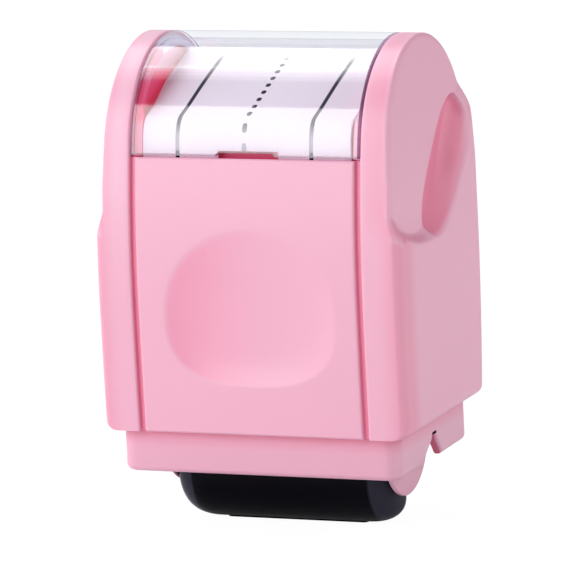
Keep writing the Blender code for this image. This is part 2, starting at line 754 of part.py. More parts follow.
def inner_frame():
    """Skirt, ears, top plate and spring posts in one moulding."""
    item = piece("inner_frame", upright(frame_outline(0), FRAME_BOTTOM_Z, FRAME_TOP_Z), "pink_plastic")
    under = FRAME_TOP_Z - FRAME_WALL
    cut(item, "frame_hollow", upright(frame_outline(FRAME_WALL), FRAME_BOTTOM_Z - OVERRUN, under))
    front = frame_front_y() + FRAME_WALL / 2
    rear = frame_rear_y() - FRAME_WALL / 2
    outer_x = EAR_INNER_X + EAR_THICKNESS
    for side in (-1, 1):
        join(item, "ear_lobe", mirrored(extruded(ear_outline(), EAR_INNER_X, outer_x), side))
        plate = block((EAR_INNER_X, front, EAR_TOP_Z - OVERRUN),
                      (outer_x, rear, FRAME_TOP_Z - FRAME_WALL / 2))
        join(item, "ear_plate", mirrored(plate, side))
        arch = [(ARCH_FRONT_Y, FRAME_BOTTOM_Z - OVERRUN), (ARCH_TOP_FRONT_Y, ARCH_SHOULDER_Z),
                (ARCH_TOP_FRONT_Y, ARCH_TOP_Z), (ARCH_TOP_REAR_Y, ARCH_TOP_Z),
                (ARCH_REAR_Y, FRAME_BOTTOM_Z - OVERRUN)]
        notch = extruded(arch, FRAME_HALF_WIDTH - FRAME_WALL - OVERRUN, FRAME_HALF_WIDTH + OVERRUN)
        cut(item, "side_notch", mirrored(notch, side))
        socket = bar((0, AXLE_Z), AXLE_RADIUS + CLEARANCE, EAR_INNER_X - OVERRUN,
                     EAR_INNER_X + EAR_SOCKET_DEPTH)
        cut(item, "axle_socket", mirrored(socket, side))
        slot_rear = ADDENDUM - PITCH_RADIUS + 2 * CLEARANCE
        slot = block((GEAR_INNER_X - CLEARANCE, rack_back_y() - 2 * CLEARANCE, under - OVERRUN),
                     (GEAR_INNER_X + GEAR_WIDTH + CLEARANCE, slot_rear, FRAME_TOP_Z + OVERRUN))
        cut(item, "rack_slot", mirrored(slot, side))
        post = stud((side * SPRING_X, 0), POST_RADIUS, under + FRAME_WALL / 2, FRAME_TOP_Z + POST_HEIGHT)
        join(item, "spring_post", post)
        bore = stud((side * SPRING_X, 0), STOP_RADIUS + CLEARANCE, FRAME_TOP_Z + POST_HEIGHT - STOP_DEPTH,
                    FRAME_TOP_Z + POST_HEIGHT + OVERRUN)
        cut(item, "post_bore", bore)


def return_spring(name, x, casing):
    """Compression spring round its post, as a wire wound up a helix."""
    low = FRAME_TOP_Z + CLEARANCE + SPRING_WIRE
    high = deck_base_bottom() - CLEARANCE - SPRING_WIRE
    steps = SPRING_TURNS * TURN_STEPS
    rings = []
    for i in range(steps + 1):
        turn = math.tau * SPRING_TURNS * i / steps
        centre_z = low + (high - low) * i / steps
        ring = []
        for side in range(WIRE_SIDES):
            around = math.tau * side / WIRE_SIDES
            reach = SPRING_RADIUS + SPRING_WIRE * math.cos(around)
            ring.append((x + reach * math.cos(turn), reach * math.sin(turn),
                         centre_z + SPRING_WIRE * math.sin(around)))
        rings.append(ring)
    piece(name, lofted(rings), "steel", casing)


def roller_core(roller):
    inner = AXLE_RADIUS + CLEARANCE
    profile = [(-ROLLER_HALF_LENGTH, inner), (ROLLER_HALF_LENGTH, inner),
               (ROLLER_HALF_LENGTH, CORE_RADIUS), (-ROLLER_HALF_LENGTH, CORE_RADIUS)]
    piece("roller_core", turned(profile, (0, AXLE_Z)), "white_plastic", roller)


def stamp_sleeve(roller):
    """Rubber sleeve with two raised solid lines and a raised broken one between them."""
    inner = CORE_RADIUS + CLEARANCE
    half = LINE_WIDTH / 2
    profile = [(-SLEEVE_HALF_LENGTH, inner), (-SLEEVE_HALF_LENGTH, SLEEVE_RADIUS)]
    for x in (-LINE_SPACING, LINE_SPACING):
        profile += [(x - half, SLEEVE_RADIUS), (x - half, LINE_RADIUS),
                    (x + half, LINE_RADIUS), (x + half, SLEEVE_RADIUS)]
    profile += [(SLEEVE_HALF_LENGTH, SLEEVE_RADIUS), (SLEEVE_HALF_LENGTH, inner)]
    item = piece("stamp_sleeve", turned(profile, (0, AXLE_Z)), "rubber", roller)
    root = SLEEVE_RADIUS - LINE_WIDTH / 2
    outer, hidden = [], []
    for i in range(DASHES):
        start = math.tau * (i - DASH_SHARE / 2) / DASHES
        end = math.tau * (i + DASH_SHARE / 2) / DASHES
        for turn, radius in ((start, root), (start, LINE_RADIUS), ((start + end) / 2, LINE_RADIUS),
                             (end, LINE_RADIUS), (end, root)):
            outer.append(polar(radius, turn))
            hidden.append(polar((inner + root) / 2, turn))
    join(item, "broken_line", hollow_extruded(outer, hidden, -half, half))


def grip_tyre(name, side, roller):
    """Rubber ring that keeps the roller turning at its end."""
    inner = CORE_RADIUS + CLEARANCE
    outer_x = ROLLER_HALF_LENGTH
    profile = [(outer_x - TYRE_WIDTH, inner), (outer_x, inner), (outer_x, LINE_RADIUS - TYRE_CHAMFER),
               (outer_x - TYRE_CHAMFER, LINE_RADIUS), (outer_x - TYRE_WIDTH, LINE_RADIUS)]
    piece(name, mirrored(turned(profile, (0, AXLE_Z)), side), "rubber", roller)


def shutter_profile():
    """Section of the shutter's shell with its rounded ends, as (x, radius) points."""
    wall = SHUTTER_WALL
    flat = SHUTTER_HALF_LENGTH - SHUTTER_END_ROUND
    base = SHUTTER_RADIUS - SHUTTER_END_ROUND
    hub = HUB_RADIUS + CLEARANCE
    outer, inner = [], []
    for i in range(END_STEPS + 1):
        turn = math.pi / 2 * i / END_STEPS
        outer.append((flat + SHUTTER_END_ROUND * math.sin(turn), base + SHUTTER_END_ROUND * math.cos(turn)))
        inner.append((flat + (SHUTTER_END_ROUND - wall) * math.sin(turn),
                      base + (SHUTTER_END_ROUND - wall) * math.cos(turn)))
    right = outer + [(SHUTTER_HALF_LENGTH, hub), (SHUTTER_HALF_LENGTH - wall, hub)] + inner[::-1]
    left = [(-x, r) for x, r in right][::-1]
    return right + left


def shutter(swing):
    """Part cylinder round the roller with full bosses on the axle and a flat foot."""
    shell = sector(shutter_profile(), (0, AXLE_Z), SHUTTER_FRONT_ANGLE, SHUTTER_REAR_ANGLE, SHUTTER_STEPS)
    item = piece("shutter", shell, "black_plastic", swing)
    hub = HUB_RADIUS + CLEARANCE
    rim = SHUTTER_RADIUS - SHUTTER_END_ROUND - BOSS_PROUD
    inner, outer = SHUTTER_HALF_LENGTH - SHUTTER_WALL - BOSS_PROUD, SHUTTER_HALF_LENGTH + BOSS_PROUD
    for side in (-1, 1):
        ring = turned([(inner, hub), (outer, hub), (outer, rim), (inner, rim)], (0, AXLE_Z))
        join(item, "shutter_boss", mirrored(ring, side))
    foot = block((-FOOT_HALF_LENGTH, -FOOT_HALF_WIDTH, 0), (FOOT_HALF_LENGTH, FOOT_HALF_WIDTH, FOOT_HEIGHT))
    join(item, "shutter_foot", foot)


def rear_guard():
    """Fixed shield behind the roller that the shutter turns inside."""
    inner = math.hypot(FOOT_HALF_WIDTH, SHUTTER_RADIUS) + GUARD_GAP
    outer = inner + GUARD_WALL
    profile = [(-GUARD_HALF_LENGTH, inner), (-GUARD_HALF_LENGTH, outer),
               (GUARD_HALF_LENGTH, outer), (GUARD_HALF_LENGTH, inner)]
    shield = sector(profile, (0, AXLE_Z), GUARD_LOW_ANGLE, GUARD_HIGH_ANGLE, SHUTTER_STEPS // 2)
    item = piece("rear_guard", shield, "black_plastic")
    rise = GUARD_RIB_Z + GUARD_RIB_HEIGHT / 2 - AXLE_Z
    root = math.sqrt((inner + GUARD_WALL / 2) ** 2 - rise ** 2)
    wall_y = frame_rear_y() - FRAME_WALL - CLEARANCE
    rib = block((-GUARD_HALF_LENGTH, root, GUARD_RIB_Z),
                (GUARD_HALF_LENGTH, wall_y, GUARD_RIB_Z + GUARD_RIB_HEIGHT))
    join(item, "guard_rib", rib)


def involute(radius):
    """Angle that an involute has turned through at a radius."""
    base = PITCH_RADIUS * math.cos(PRESSURE_ANGLE)
    if radius <= base:
        return 0.0
    slope = math.sqrt((radius / base) ** 2 - 1)
    return slope - math.atan(slope)


def gear_outline():
    """Pinion teeth as (y, z) points; a space faces the rack at rest."""
    half_thick = (math.pi * PITCH_RADIUS / TEETH - BACKLASH) / 2 / PITCH_RADIUS
    root = PITCH_RADIUS - DEDENDUM
    tip = PITCH_RADIUS + ADDENDUM
    base = PITCH_RADIUS * math.cos(PRESSURE_ANGLE)
    radii = [root] + [base + (tip - base) * i / FLANK_STEPS for i in range(FLANK_STEPS + 1)]
    points = []
    for tooth in range(TEETH):
        middle = -math.pi / 2 + math.tau * (tooth + 0.5) / TEETH
        widths = [half_thick + involute(PITCH_RADIUS) - involute(radius) for radius in radii]
        rising = [polar(radius, middle - width) for radius, width in zip(radii, widths)]
        falling = [polar(radius, middle + width) for radius, width in zip(radii, widths)]
        points += rising + falling[::-1]
    return points


def drive_pinion(name, side, swing):
    """Pinion inside the shutter's end with a hub that is keyed into the boss."""
    outer_x = GEAR_INNER_X + GEAR_WIDTH
    teeth = extruded(gear_outline(), GEAR_INNER_X, outer_x)
    item = piece(name, mirrored(teeth, side), "white_plastic", swing)
    hub = bar((0, AXLE_Z), HUB_RADIUS, outer_x - GEAR_WIDTH / 2, SHUTTER_HALF_LENGTH - CLEARANCE)
    join(item, name + "_hub", mirrored(hub, side))
    bore = bar((0, AXLE_Z), AXLE_RADIUS + CLEARANCE, GEAR_INNER_X - OVERRUN, SHUTTER_HALF_LENGTH + OVERRUN)
    cut(item, name + "_bore", mirrored(bore, side))


def rack_back_y():
    return -PITCH_RADIUS - DEDENDUM - RACK_DEPTH


def drive_rack(name, side, casing):
    """Toothed strip that hangs from the card deck and turns the pinion."""
    root_y = -PITCH_RADIUS - DEDENDUM
    tip_y = -PITCH_RADIUS + ADDENDUM
    pitch = math.tau * PITCH_RADIUS / TEETH
    half = (pitch / 2 - BACKLASH) / 2
    lean = math.tan(PRESSURE_ANGLE)
    top = deck_base_bottom() - CLEARANCE
    outline = [(rack_back_y(), RACK_END_Z), (root_y, RACK_END_Z)]
    for tooth in range(math.ceil(TRAVEL / pitch) + 2):
        z = AXLE_Z + tooth * pitch
        outline += [(root_y, z - half - DEDENDUM * lean), (tip_y, z - half + ADDENDUM * lean),
                    (tip_y, z + half - ADDENDUM * lean), (root_y, z + half + DEDENDUM * lean)]
    outline += [(root_y, top), (rack_back_y(), top)]
    strip = extruded(outline, GEAR_INNER_X, GEAR_INNER_X + GEAR_WIDTH)
    item = piece(name, mirrored(strip, side), "white_plastic", casing)
    middle = (root_y + rack_back_y()) / 2
    foot = block((GEAR_INNER_X - GEAR_WIDTH / 2, middle - RACK_FOOT_HALF_WIDTH, top - RACK_FOOT_HEIGHT),
                 (GEAR_INNER_X + GEAR_WIDTH * 3 / 2, middle + RACK_FOOT_HALF_WIDTH, top))
    join(item, name + "_foot", mirrored(foot, side))


def cartridge_front_y():
    return frame_front_y() + FRAME_WALL + CLEARANCE


def ink_radius():
    """Radius that fills the space between the raised lines and the cartridge's front wall."""
    forward = -math.sin(INK_ANGLE)
    wall_y = cartridge_front_y() + CARTRIDGE_WALL + INK_WALL_GAP
    return (-wall_y - forward * (LINE_RADIUS + CLEARANCE)) / (1 + forward)


def ink_axle_radius():
    return ink_radius() * INK_AXLE_SHARE


def ink_axis():
    """The (y, z) place of the ink roller, just clear of the raised lines."""
    return polar(LINE_RADIUS + ink_radius() + CLEARANCE, INK_ANGLE)


def ink_roller(ink):
    inner = ink_axle_radius() + CLEARANCE
    outer = ink_radius()
    profile = [(-INK_HALF_LENGTH, inner), (INK_HALF_LENGTH, inner),
               (INK_HALF_LENGTH, outer), (-INK_HALF_LENGTH, outer)]
    piece("ink_roller", turned(profile, ink_axis(), ROUND_STEPS - SMALL_STEPS // 2), "ink_foam", ink)
    axle = bar(ink_axis(), ink_axle_radius(), -CARTRIDGE_HALF_LENGTH, CARTRIDGE_HALF_LENGTH)
    piece("ink_roller_axle", axle, "steel", ink)


def ink_cartridge():
    """Holder over the ink roller, open towards the stamping roller."""
    keep_out = SHUTTER_RADIUS + CARTRIDGE_GAP
    front = cartridge_front_y()
    steps = SMALL_STEPS // 2
    turns = [CARTRIDGE_FRONT_ANGLE + (CARTRIDGE_REAR_ANGLE - CARTRIDGE_FRONT_ANGLE) * i / steps
             for i in range(steps + 1)]
    arc = [polar(keep_out, turn) for turn in turns]
    low, rear = arc[0][1], arc[-1][0]
    top = ink_axis()[1] + ink_radius() + CARTRIDGE_WALL + CARTRIDGE_TOP_GAP
    outline = [(front, low)] + arc + [(rear, top), (front, top)]
    half = CARTRIDGE_HALF_LENGTH
    item = piece("ink_cartridge", extruded(outline, -half, half), "black_plastic")
    wall = CARTRIDGE_WALL
    hollow = block((wall - half, front + wall, low - OVERRUN),
                   (half - wall, rear + OVERRUN, top - wall))
    cut(item, "cartridge_hollow", hollow)
    end = half + OVERRUN
    cut(item, "ink_axle_hole", bar(ink_axis(), ink_axle_radius() + CLEARANCE, -end, end))


def main():
    clear_scene()
    casing = carrier("press_axis", (0, 0, CASING_BOTTOM_Z))
    lid = carrier("window_axis", (0, *window_pivot()))
    swing = carrier("shutter_axis", (0, 0, AXLE_Z))
    roller = carrier("roller_axis", (0, 0, AXLE_Z))
    ink = carrier("ink_axis", (0, *ink_axis()))
    lid.parent = casing
    lid.matrix_parent_inverse = Matrix.Translation(casing.location).inverted()

    inner_frame()
    axle_end = EAR_INNER_X + EAR_SOCKET_DEPTH - CLEARANCE
    piece("roller_axle", bar((0, AXLE_Z), AXLE_RADIUS, -axle_end, axle_end), "steel")
    rear_guard()
    ink_cartridge()
    ink_roller(ink)
    roller_core(roller)
    stamp_sleeve(roller)
    shutter(swing)
    panel("front_panel", front_y, -1, FRONT_SEAM_Z, casing)
    panel("rear_panel", rear_y, 1, rear_seam_z(), casing)
    window(lid)
    card_deck(casing)
    label_card(casing)
    post_top = FRAME_TOP_Z + POST_HEIGHT
    for side, word in ((-1, "left"), (1, "right")):
        side_shell(word + "_side_shell", side, casing)
        hinge_pin(word + "_hinge_pin", side, casing)
        grip_tyre(word + "_grip_tyre", side, roller)
        drive_pinion(word + "_pinion", side, swing)
        drive_rack(word + "_rack", side, casing)
        return_spring(word + "_return_spring", side * SPRING_X, casing)
        screw(word + "_stop_screw", (side * SPRING_X, 0), deck_base_top() + CLEARANCE, STOP_HEAD_RADIUS,
              STOP_HEAD_HEIGHT, STOP_RADIUS, post_top - STOP_DEPTH + CLEARANCE, None)
        for y, place in zip(screw_rows(), ("front", "rear")):
            screw(word + "_" + place + "_screw", (side * SCREW_X, y),
                  deck_base_bottom() - CLEARANCE - SCREW_HEAD_HEIGHT, SCREW_HEAD_RADIUS, SCREW_HEAD_HEIGHT,
                  SCREW_RADIUS, SLAB_BOTTOM_Z + SCREW_BITE, casing)


if __name__ == "__main__":
    main()
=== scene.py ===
import math

import bmesh
import bpy
import numpy as np
from mathutils import Matrix, Vector


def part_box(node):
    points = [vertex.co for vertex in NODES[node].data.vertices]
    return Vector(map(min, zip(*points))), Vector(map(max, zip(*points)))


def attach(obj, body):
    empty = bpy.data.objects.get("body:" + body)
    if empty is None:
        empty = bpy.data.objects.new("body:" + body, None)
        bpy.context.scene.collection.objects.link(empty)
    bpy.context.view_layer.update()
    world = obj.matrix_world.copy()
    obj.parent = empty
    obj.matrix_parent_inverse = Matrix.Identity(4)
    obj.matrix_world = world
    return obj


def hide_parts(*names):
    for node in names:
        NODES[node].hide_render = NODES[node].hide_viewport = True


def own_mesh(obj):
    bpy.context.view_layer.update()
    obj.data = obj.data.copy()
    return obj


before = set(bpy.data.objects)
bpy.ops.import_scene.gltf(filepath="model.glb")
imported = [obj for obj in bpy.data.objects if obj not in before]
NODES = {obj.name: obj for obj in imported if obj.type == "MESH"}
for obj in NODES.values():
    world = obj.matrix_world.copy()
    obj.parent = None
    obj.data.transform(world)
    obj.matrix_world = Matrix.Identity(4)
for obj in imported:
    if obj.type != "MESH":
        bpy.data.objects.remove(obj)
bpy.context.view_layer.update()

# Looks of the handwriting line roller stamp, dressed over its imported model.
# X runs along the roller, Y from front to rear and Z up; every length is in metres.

bl_info = {
    "name": "Handwriting line roller stamp",
    "version": (1, 0, 0),
    "blender": (4, 5, 0),
    "location": "3D View > Sidebar > Stamp",
    "description": "Builds the outer surfaces, finishes, studio and camera of the roller stamp",
    "category": "Object",
}

# Side outline of the casing
CASING_LOW = 0.0198
CROWN_RADIUS, CROWN_Y, CROWN_Z = 0.0200, 0.0010, 0.0687
# Its faces: side, height of the bulge, how far the foot is set back, lean where the crown begins
FRONT_FACE = (-1, 0.0430, 0.0003, math.radians(10))
REAR_FACE = (1, 0.0500, 0.0017, math.radians(2))
FRONT_SEAM_Z = 0.0693
SEAM_GAP = 0.0003
PIVOT_Z = 0.0704
BEAD_RADIUS = 0.0012
AXLE_Z = 0.0100

# Shoulder line of the side shells, Y and Z in millimetres
SHOULDER = [(-26, 60.0), (-20.5, 57.6), (-18, 56.6), (-14, 55.0), (-9, 53.8), (-4, 53.8), (1.5, 56.0), (6, 58.6),
            (10, 62.0), (13.7, 66.6), (17.4, 71.6), (20.5, 76.2), (26, 83.5)]

# Slanted finger hollow: place of its middle, slope and half sizes
HOLLOW_Y, HOLLOW_Z = 0.0070, 0.0660
HOLLOW_SLOPE = math.radians(46)
HOLLOW_OFFSET = (0.0011, 0.0013)
HOLLOW_HALF_LENGTH, HOLLOW_HALF_WIDTH = 0.0146, 0.0056

# Thumb hollow: place of its middle and its reach to the sides, up and down
DIMPLE_X, DIMPLE_Z = 0.0004, 0.0413
DIMPLE_SIDE, DIMPLE_UP, DIMPLE_DOWN = 0.0163, 0.0156, 0.0126

# Card: its path as Y and Z in millimetres, then its lines, placed by the length along it
CARD_PATH = [(-17.35, 62.0), (-17.4, 66.0), (-17.4, 69.7), (-17.15, 72.3), (-16.55, 74.3), (-15.5, 75.8),
             (-13.9, 76.5), (-11.6, 77.3), (-3.4, 80.45), (5.5, 83.5), (8.3, 84.35), (9.9, 83.6), (12.4, 79.6),
             (15.9, 73.6)]
LINE_SHIFT = 0.00055
LINE_SOFTNESS = 0.00006
# LINE_FADE, and the band from LINE_PALER to LINE_DARKER, paint the lid's glare as a reflection that pales and washes
# out the lines
LINE_FADE = (0.0335, 0.0390)
LINE_PALER, LINE_DARKER = (0.0079, 0.0087), (0.0105, 0.0140)
DASH_START = 0.0161
DASH_PITCH, LOW_DASH_PITCH = 0.00249, 0.0036
DASH_HALF_WIDTH, DASH_HALF_LENGTH, DASH_POWER = 0.00046, 0.00062, 2.6

# Inner frame: its plan, its heights, and the round ends of its ears
SKIRT_FRONT_Y, SKIRT_REAR_Y, SKIRT_RADIUS = -0.01897, 0.01763, 0.0028
SKIRT_LOW, FRAME_TOP, FRAME_WALL = 0.0119, 0.0420, 0.0018
NOTCH_DEPTH = 0.004
EAR_RADIUS, EAR_Y, EAR_Z = 0.0105, -0.0012, 0.0159

# Stamping roller
SLEEVE_BORE, SLEEVE_RADIUS, LINE_RADIUS = 0.0063, 0.0076, 0.0082
ROLLER_HALF_LENGTH, SLEEVE_HALF_LENGTH, LINE_HALF_WIDTH = 0.0168, 0.0144, 0.00042
DASHES = 16

# Plastics: noise scales, gloss, and the colours that paint shade into the pink (deep, crimson, seam) and paint light
# (pale)
FLOW_SCALE, FINE_SCALE, GRAIN_SCALE = 55.0, 900.0, 2600.0
GLOSS_SPREAD = 0.06
PLASTIC_IOR = 1.48
PAINTED_SHADE_PINK = (0.80, 0.17, 0.29)
PAINTED_LIGHT_PALE = (0.80, 0.81, 0.90)
PAINTED_SHADE_CRIMSON = (0.60, 0.03, 0.165)
PAINTED_SEAM_COLOUR = (0.26, 0.13, 0.22)

# Camera: yaw, pitch and roll in degrees, and its place
VIEW_ANGLES = (22.06, 11.10, -2.78)
VIEW_PLACE = (0.35141, -0.86838, 0.22615)


def length(name, default, description):
    return bpy.props.FloatProperty(name=name, description=description, default=default,
                                   min=0.0, precision=5, unit="LENGTH")


def colour(name, default, description):
    return bpy.props.FloatVectorProperty(name=name, description=description, default=default,
                                         size=3, min=0.0, max=1.0, subtype="COLOR")


def brightness(name, default, description):
    return bpy.props.FloatProperty(name=name, description="Brightness of " + description, default=default,
                                   min=0.0, subtype="UNSIGNED")


class StampSizes(bpy.types.PropertyGroup):
    """Sizes of the casing, lid, card and shutter."""

    wide: length("Casing half width", 0.0289, "Half width of the lower casing")
    step: length("Shoulder step", 0.0016, "How far the arch stands back")
    draft: length("Arch draft", 0.0010, "How far the arch leans in towards its top")
    rail: length("Rail inner edge", 0.0219, "Where the side shells begin, from the middle")
    groove: length("Groove", 0.0011, "Width of the groove beside each panel")
    edge: length("Body edge width", 0.0012, "Width of the rounding beside the rail, low down")
    edge_run: length("Body edge run", 0.0027, "How far back that rounding runs")
    arch_edge: length("Tight edge width", 0.0004, "Width of the rounding on the arch and at the rear")
    arch_run: length("Tight edge run", 0.0010, "How far back that tight rounding runs")
    low_edge: length("Bottom rounding", 0.0016, "Radius at the bottom of the sides")
    scoop: length("Finger hollow", 0.0024, "Depth of the slanted finger hollow")
    dimple: length("Thumb hollow", 0.00125, "Depth of the hollow in the panels")
    wall: length("Wall", 0.0017, "Thickness of the panels")
    lid: length("Lid", 0.0013, "Thickness of the clear lid")
    card: length("Card", 0.0004, "Thickness of the card")
    line: length("Printed line", 0.00038, "Half width of a printed line")
    spacing: length("Line spacing", 0.0127, "Distance between the printed lines")
    skirt: length("Skirt half width", 0.0265, "Half width of the inner frame's skirt")
    shutter: length("Shutter radius", 0.0100, "Radius of the black shutter")


class StampColours(bpy.types.PropertyGroup):
    """Colours of the plastics, the card and the ink."""

    pink: colour("Pink", (0.845, 0.425, 0.560), "Casing and inner frame")
    deep: colour("Deep pink", (0.700, 0.070, 0.190), "Deck under the card")
    black: colour("Black", (0.0025, 0.0022, 0.005), "Shutter, shield and ink holder")
    card: colour("Card", (0.945, 0.840, 0.910), "Card under the lid")
    ink: colour("Printed ink", (0.012, 0.005, 0.022), "Lines on the card")
    white: colour("White", (0.780, 0.780, 0.790), "Roller core, racks and pinions")
    rubber: colour("Rubber", (0.110, 0.025, 0.045), "Stamping sleeve and grip rings")
    steel: colour("Steel", (0.600, 0.600, 0.620), "Axles, pins, screws and springs")


class StudioSettings(bpy.types.PropertyGroup):
    """Camera and light."""

    focal: bpy.props.FloatProperty(name="Focal length", description="Lens in millimetres",
                                   default=331.5, min=20.0, unit="CAMERA")
    key: brightness("Front light", 3.6, "the front softbox")
    top: brightness("Top light", 4.4, "the top softbox")
    left: brightness("Left light", 3.3, "the left softbox")
    rear: brightness("Rear light", 0.60, "the softbox behind")
    side: brightness("Side fill", 1.95, "the large fill on the right")
    fill: brightness("Fill", 0.24, "the surroundings")


# Shader expressions


def worked_out(operation, swapped=False):
    def apply(self, other):
        return self.finish.math(operation, *((other, self) if swapped else (self, other)))
    return apply


class Value:
    """A node's output; a sum written with it adds the Math node that works it out."""

    def __init__(self, finish, socket):
        self.finish = finish
        self.socket = socket

    __add__ = __radd__ = worked_out("ADD")
    __sub__ = worked_out("SUBTRACT")
    __rsub__ = worked_out("SUBTRACT", swapped=True)
    __mul__ = __rmul__ = worked_out("MULTIPLY")
    __truediv__ = worked_out("DIVIDE")


class Finish:
    """A material or world under construction, and the one method that makes its nodes."""

    def __init__(self, name, owner=None):
        self.owner = owner or bpy.data.materials.new(name)
        self.owner.use_nodes = True
        self.tree = self.owner.node_tree
        self.tree.nodes.clear()

    def node(self, kind, settings=None, inputs=None, output=0):
        """Add a shader node with its settings, then the values or links of its sockets."""
        made = self.tree.nodes.new("ShaderNode" + kind)
        for key, value in (settings or {}).items():
            setattr(made, key, value)
        for key, value in (inputs or {}).items():
            if isinstance(value, Value):
                self.tree.links.new(value.socket, made.inputs[key])
            else:
                made.inputs[key].default_value = value
        return made if output is None else Value(self, made.outputs[output])

    def math(self, operation, first, second=0.0):
        return self.node("Math", {"operation": operation}, {0: first, 1: second})

    def smooth(self, value, low, high):
        """0 below low, 1 above high and an S-curve between them."""
        return self.node("MapRange", {"interpolation_type": "SMOOTHSTEP"},
                         {"Value": value, "From Min": low, "From Max": high})

    def mix(self, share, first, second):
        """Blend two colours."""
        return self.node("Mix", {"data_type": "RGBA"}, {0: share, 6: first, 7: second}, 2)

    def place(self):
        return self.node("TexCoord", output="Object")

    def noise(self, scale, detail=3.0):
        return self.node("TexNoise", None, {"Vector": self.place(), "Scale": scale, "Detail": detail}, "Fac")

    def grain(self, scale, strength):
        """A moulded or rubbed grain as a bump."""
        return self.node("Bump", None, {"Height": self.noise(scale), "Strength": strength, "Distance": 0.0001})

    def tint(self):
        """The three parts of the tint attribute."""
        tint = self.node("Attribute", {"attribute_name": "tint"}, output="Vector")
        return [self.node("SeparateXYZ", None, {"Vector": tint}, axis) for axis in "XYZ"]

    def gloss(self, roughness):
        """Roughness that varies a little from place to place."""
        return roughness + GLOSS_SPREAD * self.noise(FINE_SCALE, 2.0)

    def surface(self, shader, kind="OutputMaterial"):
        self.node(kind, None, {"Surface": shader}, None)
        return self.owner

    def principled(self, inputs):
        return self.surface(self.node("BsdfPrincipled", None, inputs))


def rgba(shade, factor=1.0):
    return (*(min(c * factor, 1.0) for c in shade), 1.0)


def moulded(name, shade, roughness, tone=0.97, grain=0.06, glow=0.0):
    """Moulded plastic: soft flow marks in colour and gloss over a fine grain; glow is painted light, an even glow of
    its own colour though it is no lamp.
    """
    f = Finish(name)
    return f.principled({
        "Base Color": f.mix(f.noise(FLOW_SCALE), rgba(shade, tone), rgba(shade)),
        "Roughness": f.gloss(roughness - GLOSS_SPREAD / 2),
        "Normal": f.grain(GRAIN_SCALE, grain),
        "Emission Color": rgba(shade),
        "Emission Strength": glow,
        "IOR": PLASTIC_IOR,
    })


def pink_shell(name, colours, tone=1.0):
    """Pink plastic by the tint attribute: X paints shade as a deeper pink in grooves and hollows, and below 0 paints
    light as a pale tone; Y paints the shade of the lid's seam; Z is painted light, a glow of a deeper copy of the
    pink though the plastic is no lamp, and together with X paints a crimson shade."""
    f = Finish(name)
    painted_shading, painted_seam_dark, glow = f.tint()
    body = f.mix(f.noise(FLOW_SCALE), rgba(colours.pink, 0.97 * tone), rgba(colours.pink, tone))
    body = f.mix(painted_shading, body, rgba(PAINTED_SHADE_PINK, tone))
    body = f.mix(-1.0 * painted_shading, body, rgba(PAINTED_LIGHT_PALE))
    body = f.mix(f.math("MINIMUM", glow, painted_shading), body, rgba(PAINTED_SHADE_CRIMSON))
    # Painted light: the glow takes the square of the pink, a deeper copy of it
    painted_glow = f.node("VectorMath", {"operation": "MULTIPLY"}, {0: body, 1: body})
    return f.principled({
        "Base Color": f.mix(painted_seam_dark, body, rgba(PAINTED_SEAM_COLOUR)),
        "Roughness": f.gloss(0.30),
        "Normal": f.grain(GRAIN_SCALE, 0.05),
        "Emission Color": f.mix(glow, rgba((0.0, 0.0, 0.0)), painted_glow),
        "Emission Strength": 1.0,
        "IOR": PLASTIC_IOR,
    })


def gloss_black(name, shade):
    """Black plastic; the tint attribute paints a reflection that lightens it towards blue-grey where its rounded ends
    face the room.
    """
    f = Finish(name)
    body = f.mix(f.noise(60.0), rgba(shade, 0.8), rgba(shade))
    return f.principled({
        "Base Color": f.mix(f.tint()[0], body, rgba((0.042, 0.042, 0.062))),
        "Roughness": f.gloss(0.10),
        "Normal": f.grain(GRAIN_SCALE, 0.02),
        "IOR": 1.16,
    })


def printed_card(colours, sizes):
    """Pale card with a solid, a broken and a solid line down it; a painted reflection of the lid's glare makes the
    lines paler behind the lid's front edge and washes them out before the ridge. V runs along it; the broken line's
    dashes are blunt ovals, further apart below the slope."""
    f = Finish("printed card")
    place = f.node("SeparateXYZ", None, {"Vector": f.place()})
    along = f.node("SeparateXYZ", None, {"Vector": f.node("TexCoord", output="UV")}, "Y")
    edges = [1.0 - f.smooth(f.math("ABSOLUTE", place + (LINE_SHIFT - x)), sizes.line - LINE_SOFTNESS,
                            sizes.line + LINE_SOFTNESS) for x in (-sizes.spacing, sizes.spacing)]
    climb = along - DASH_START
    count = f.math("MAXIMUM", climb, 0.0) / DASH_PITCH + f.math("MINIMUM", climb, 0.0) / LOW_DASH_PITCH
    cycle = f.math("ABSOLUTE", f.math("FRACT", count + 20.5) - 0.5) * DASH_PITCH
    across = f.math("ABSOLUTE", place + LINE_SHIFT)
    oval = f.math("POWER", across / DASH_HALF_WIDTH, DASH_POWER) + f.math("POWER", cycle / DASH_HALF_LENGTH, DASH_POWER)
    dots = 1.0 - f.smooth(f.math("POWER", oval, 1 / DASH_POWER), 0.92, 1.08)
    lines = f.math("MAXIMUM", f.math("MAXIMUM", edges[0], edges[1]), dots)
    painted_glare = 0.5 * f.smooth(along, *LINE_PALER) * (1.0 - f.smooth(along, *LINE_DARKER))
    fibre = f.mix(f.noise(1400.0, 4.0), rgba(colours.card, 0.975), rgba(colours.card))
    return f.principled({
        "Base Color": f.mix(lines * (1.0 - f.smooth(along, *LINE_FADE)) * (1.0 - painted_glare), fibre, rgba(colours.ink)),
        "Roughness": 0.55 + 0.1 * f.noise(700.0),
        "Normal": f.grain(3000.0, 0.08),
        "Specular IOR Level": 0.12,
    })


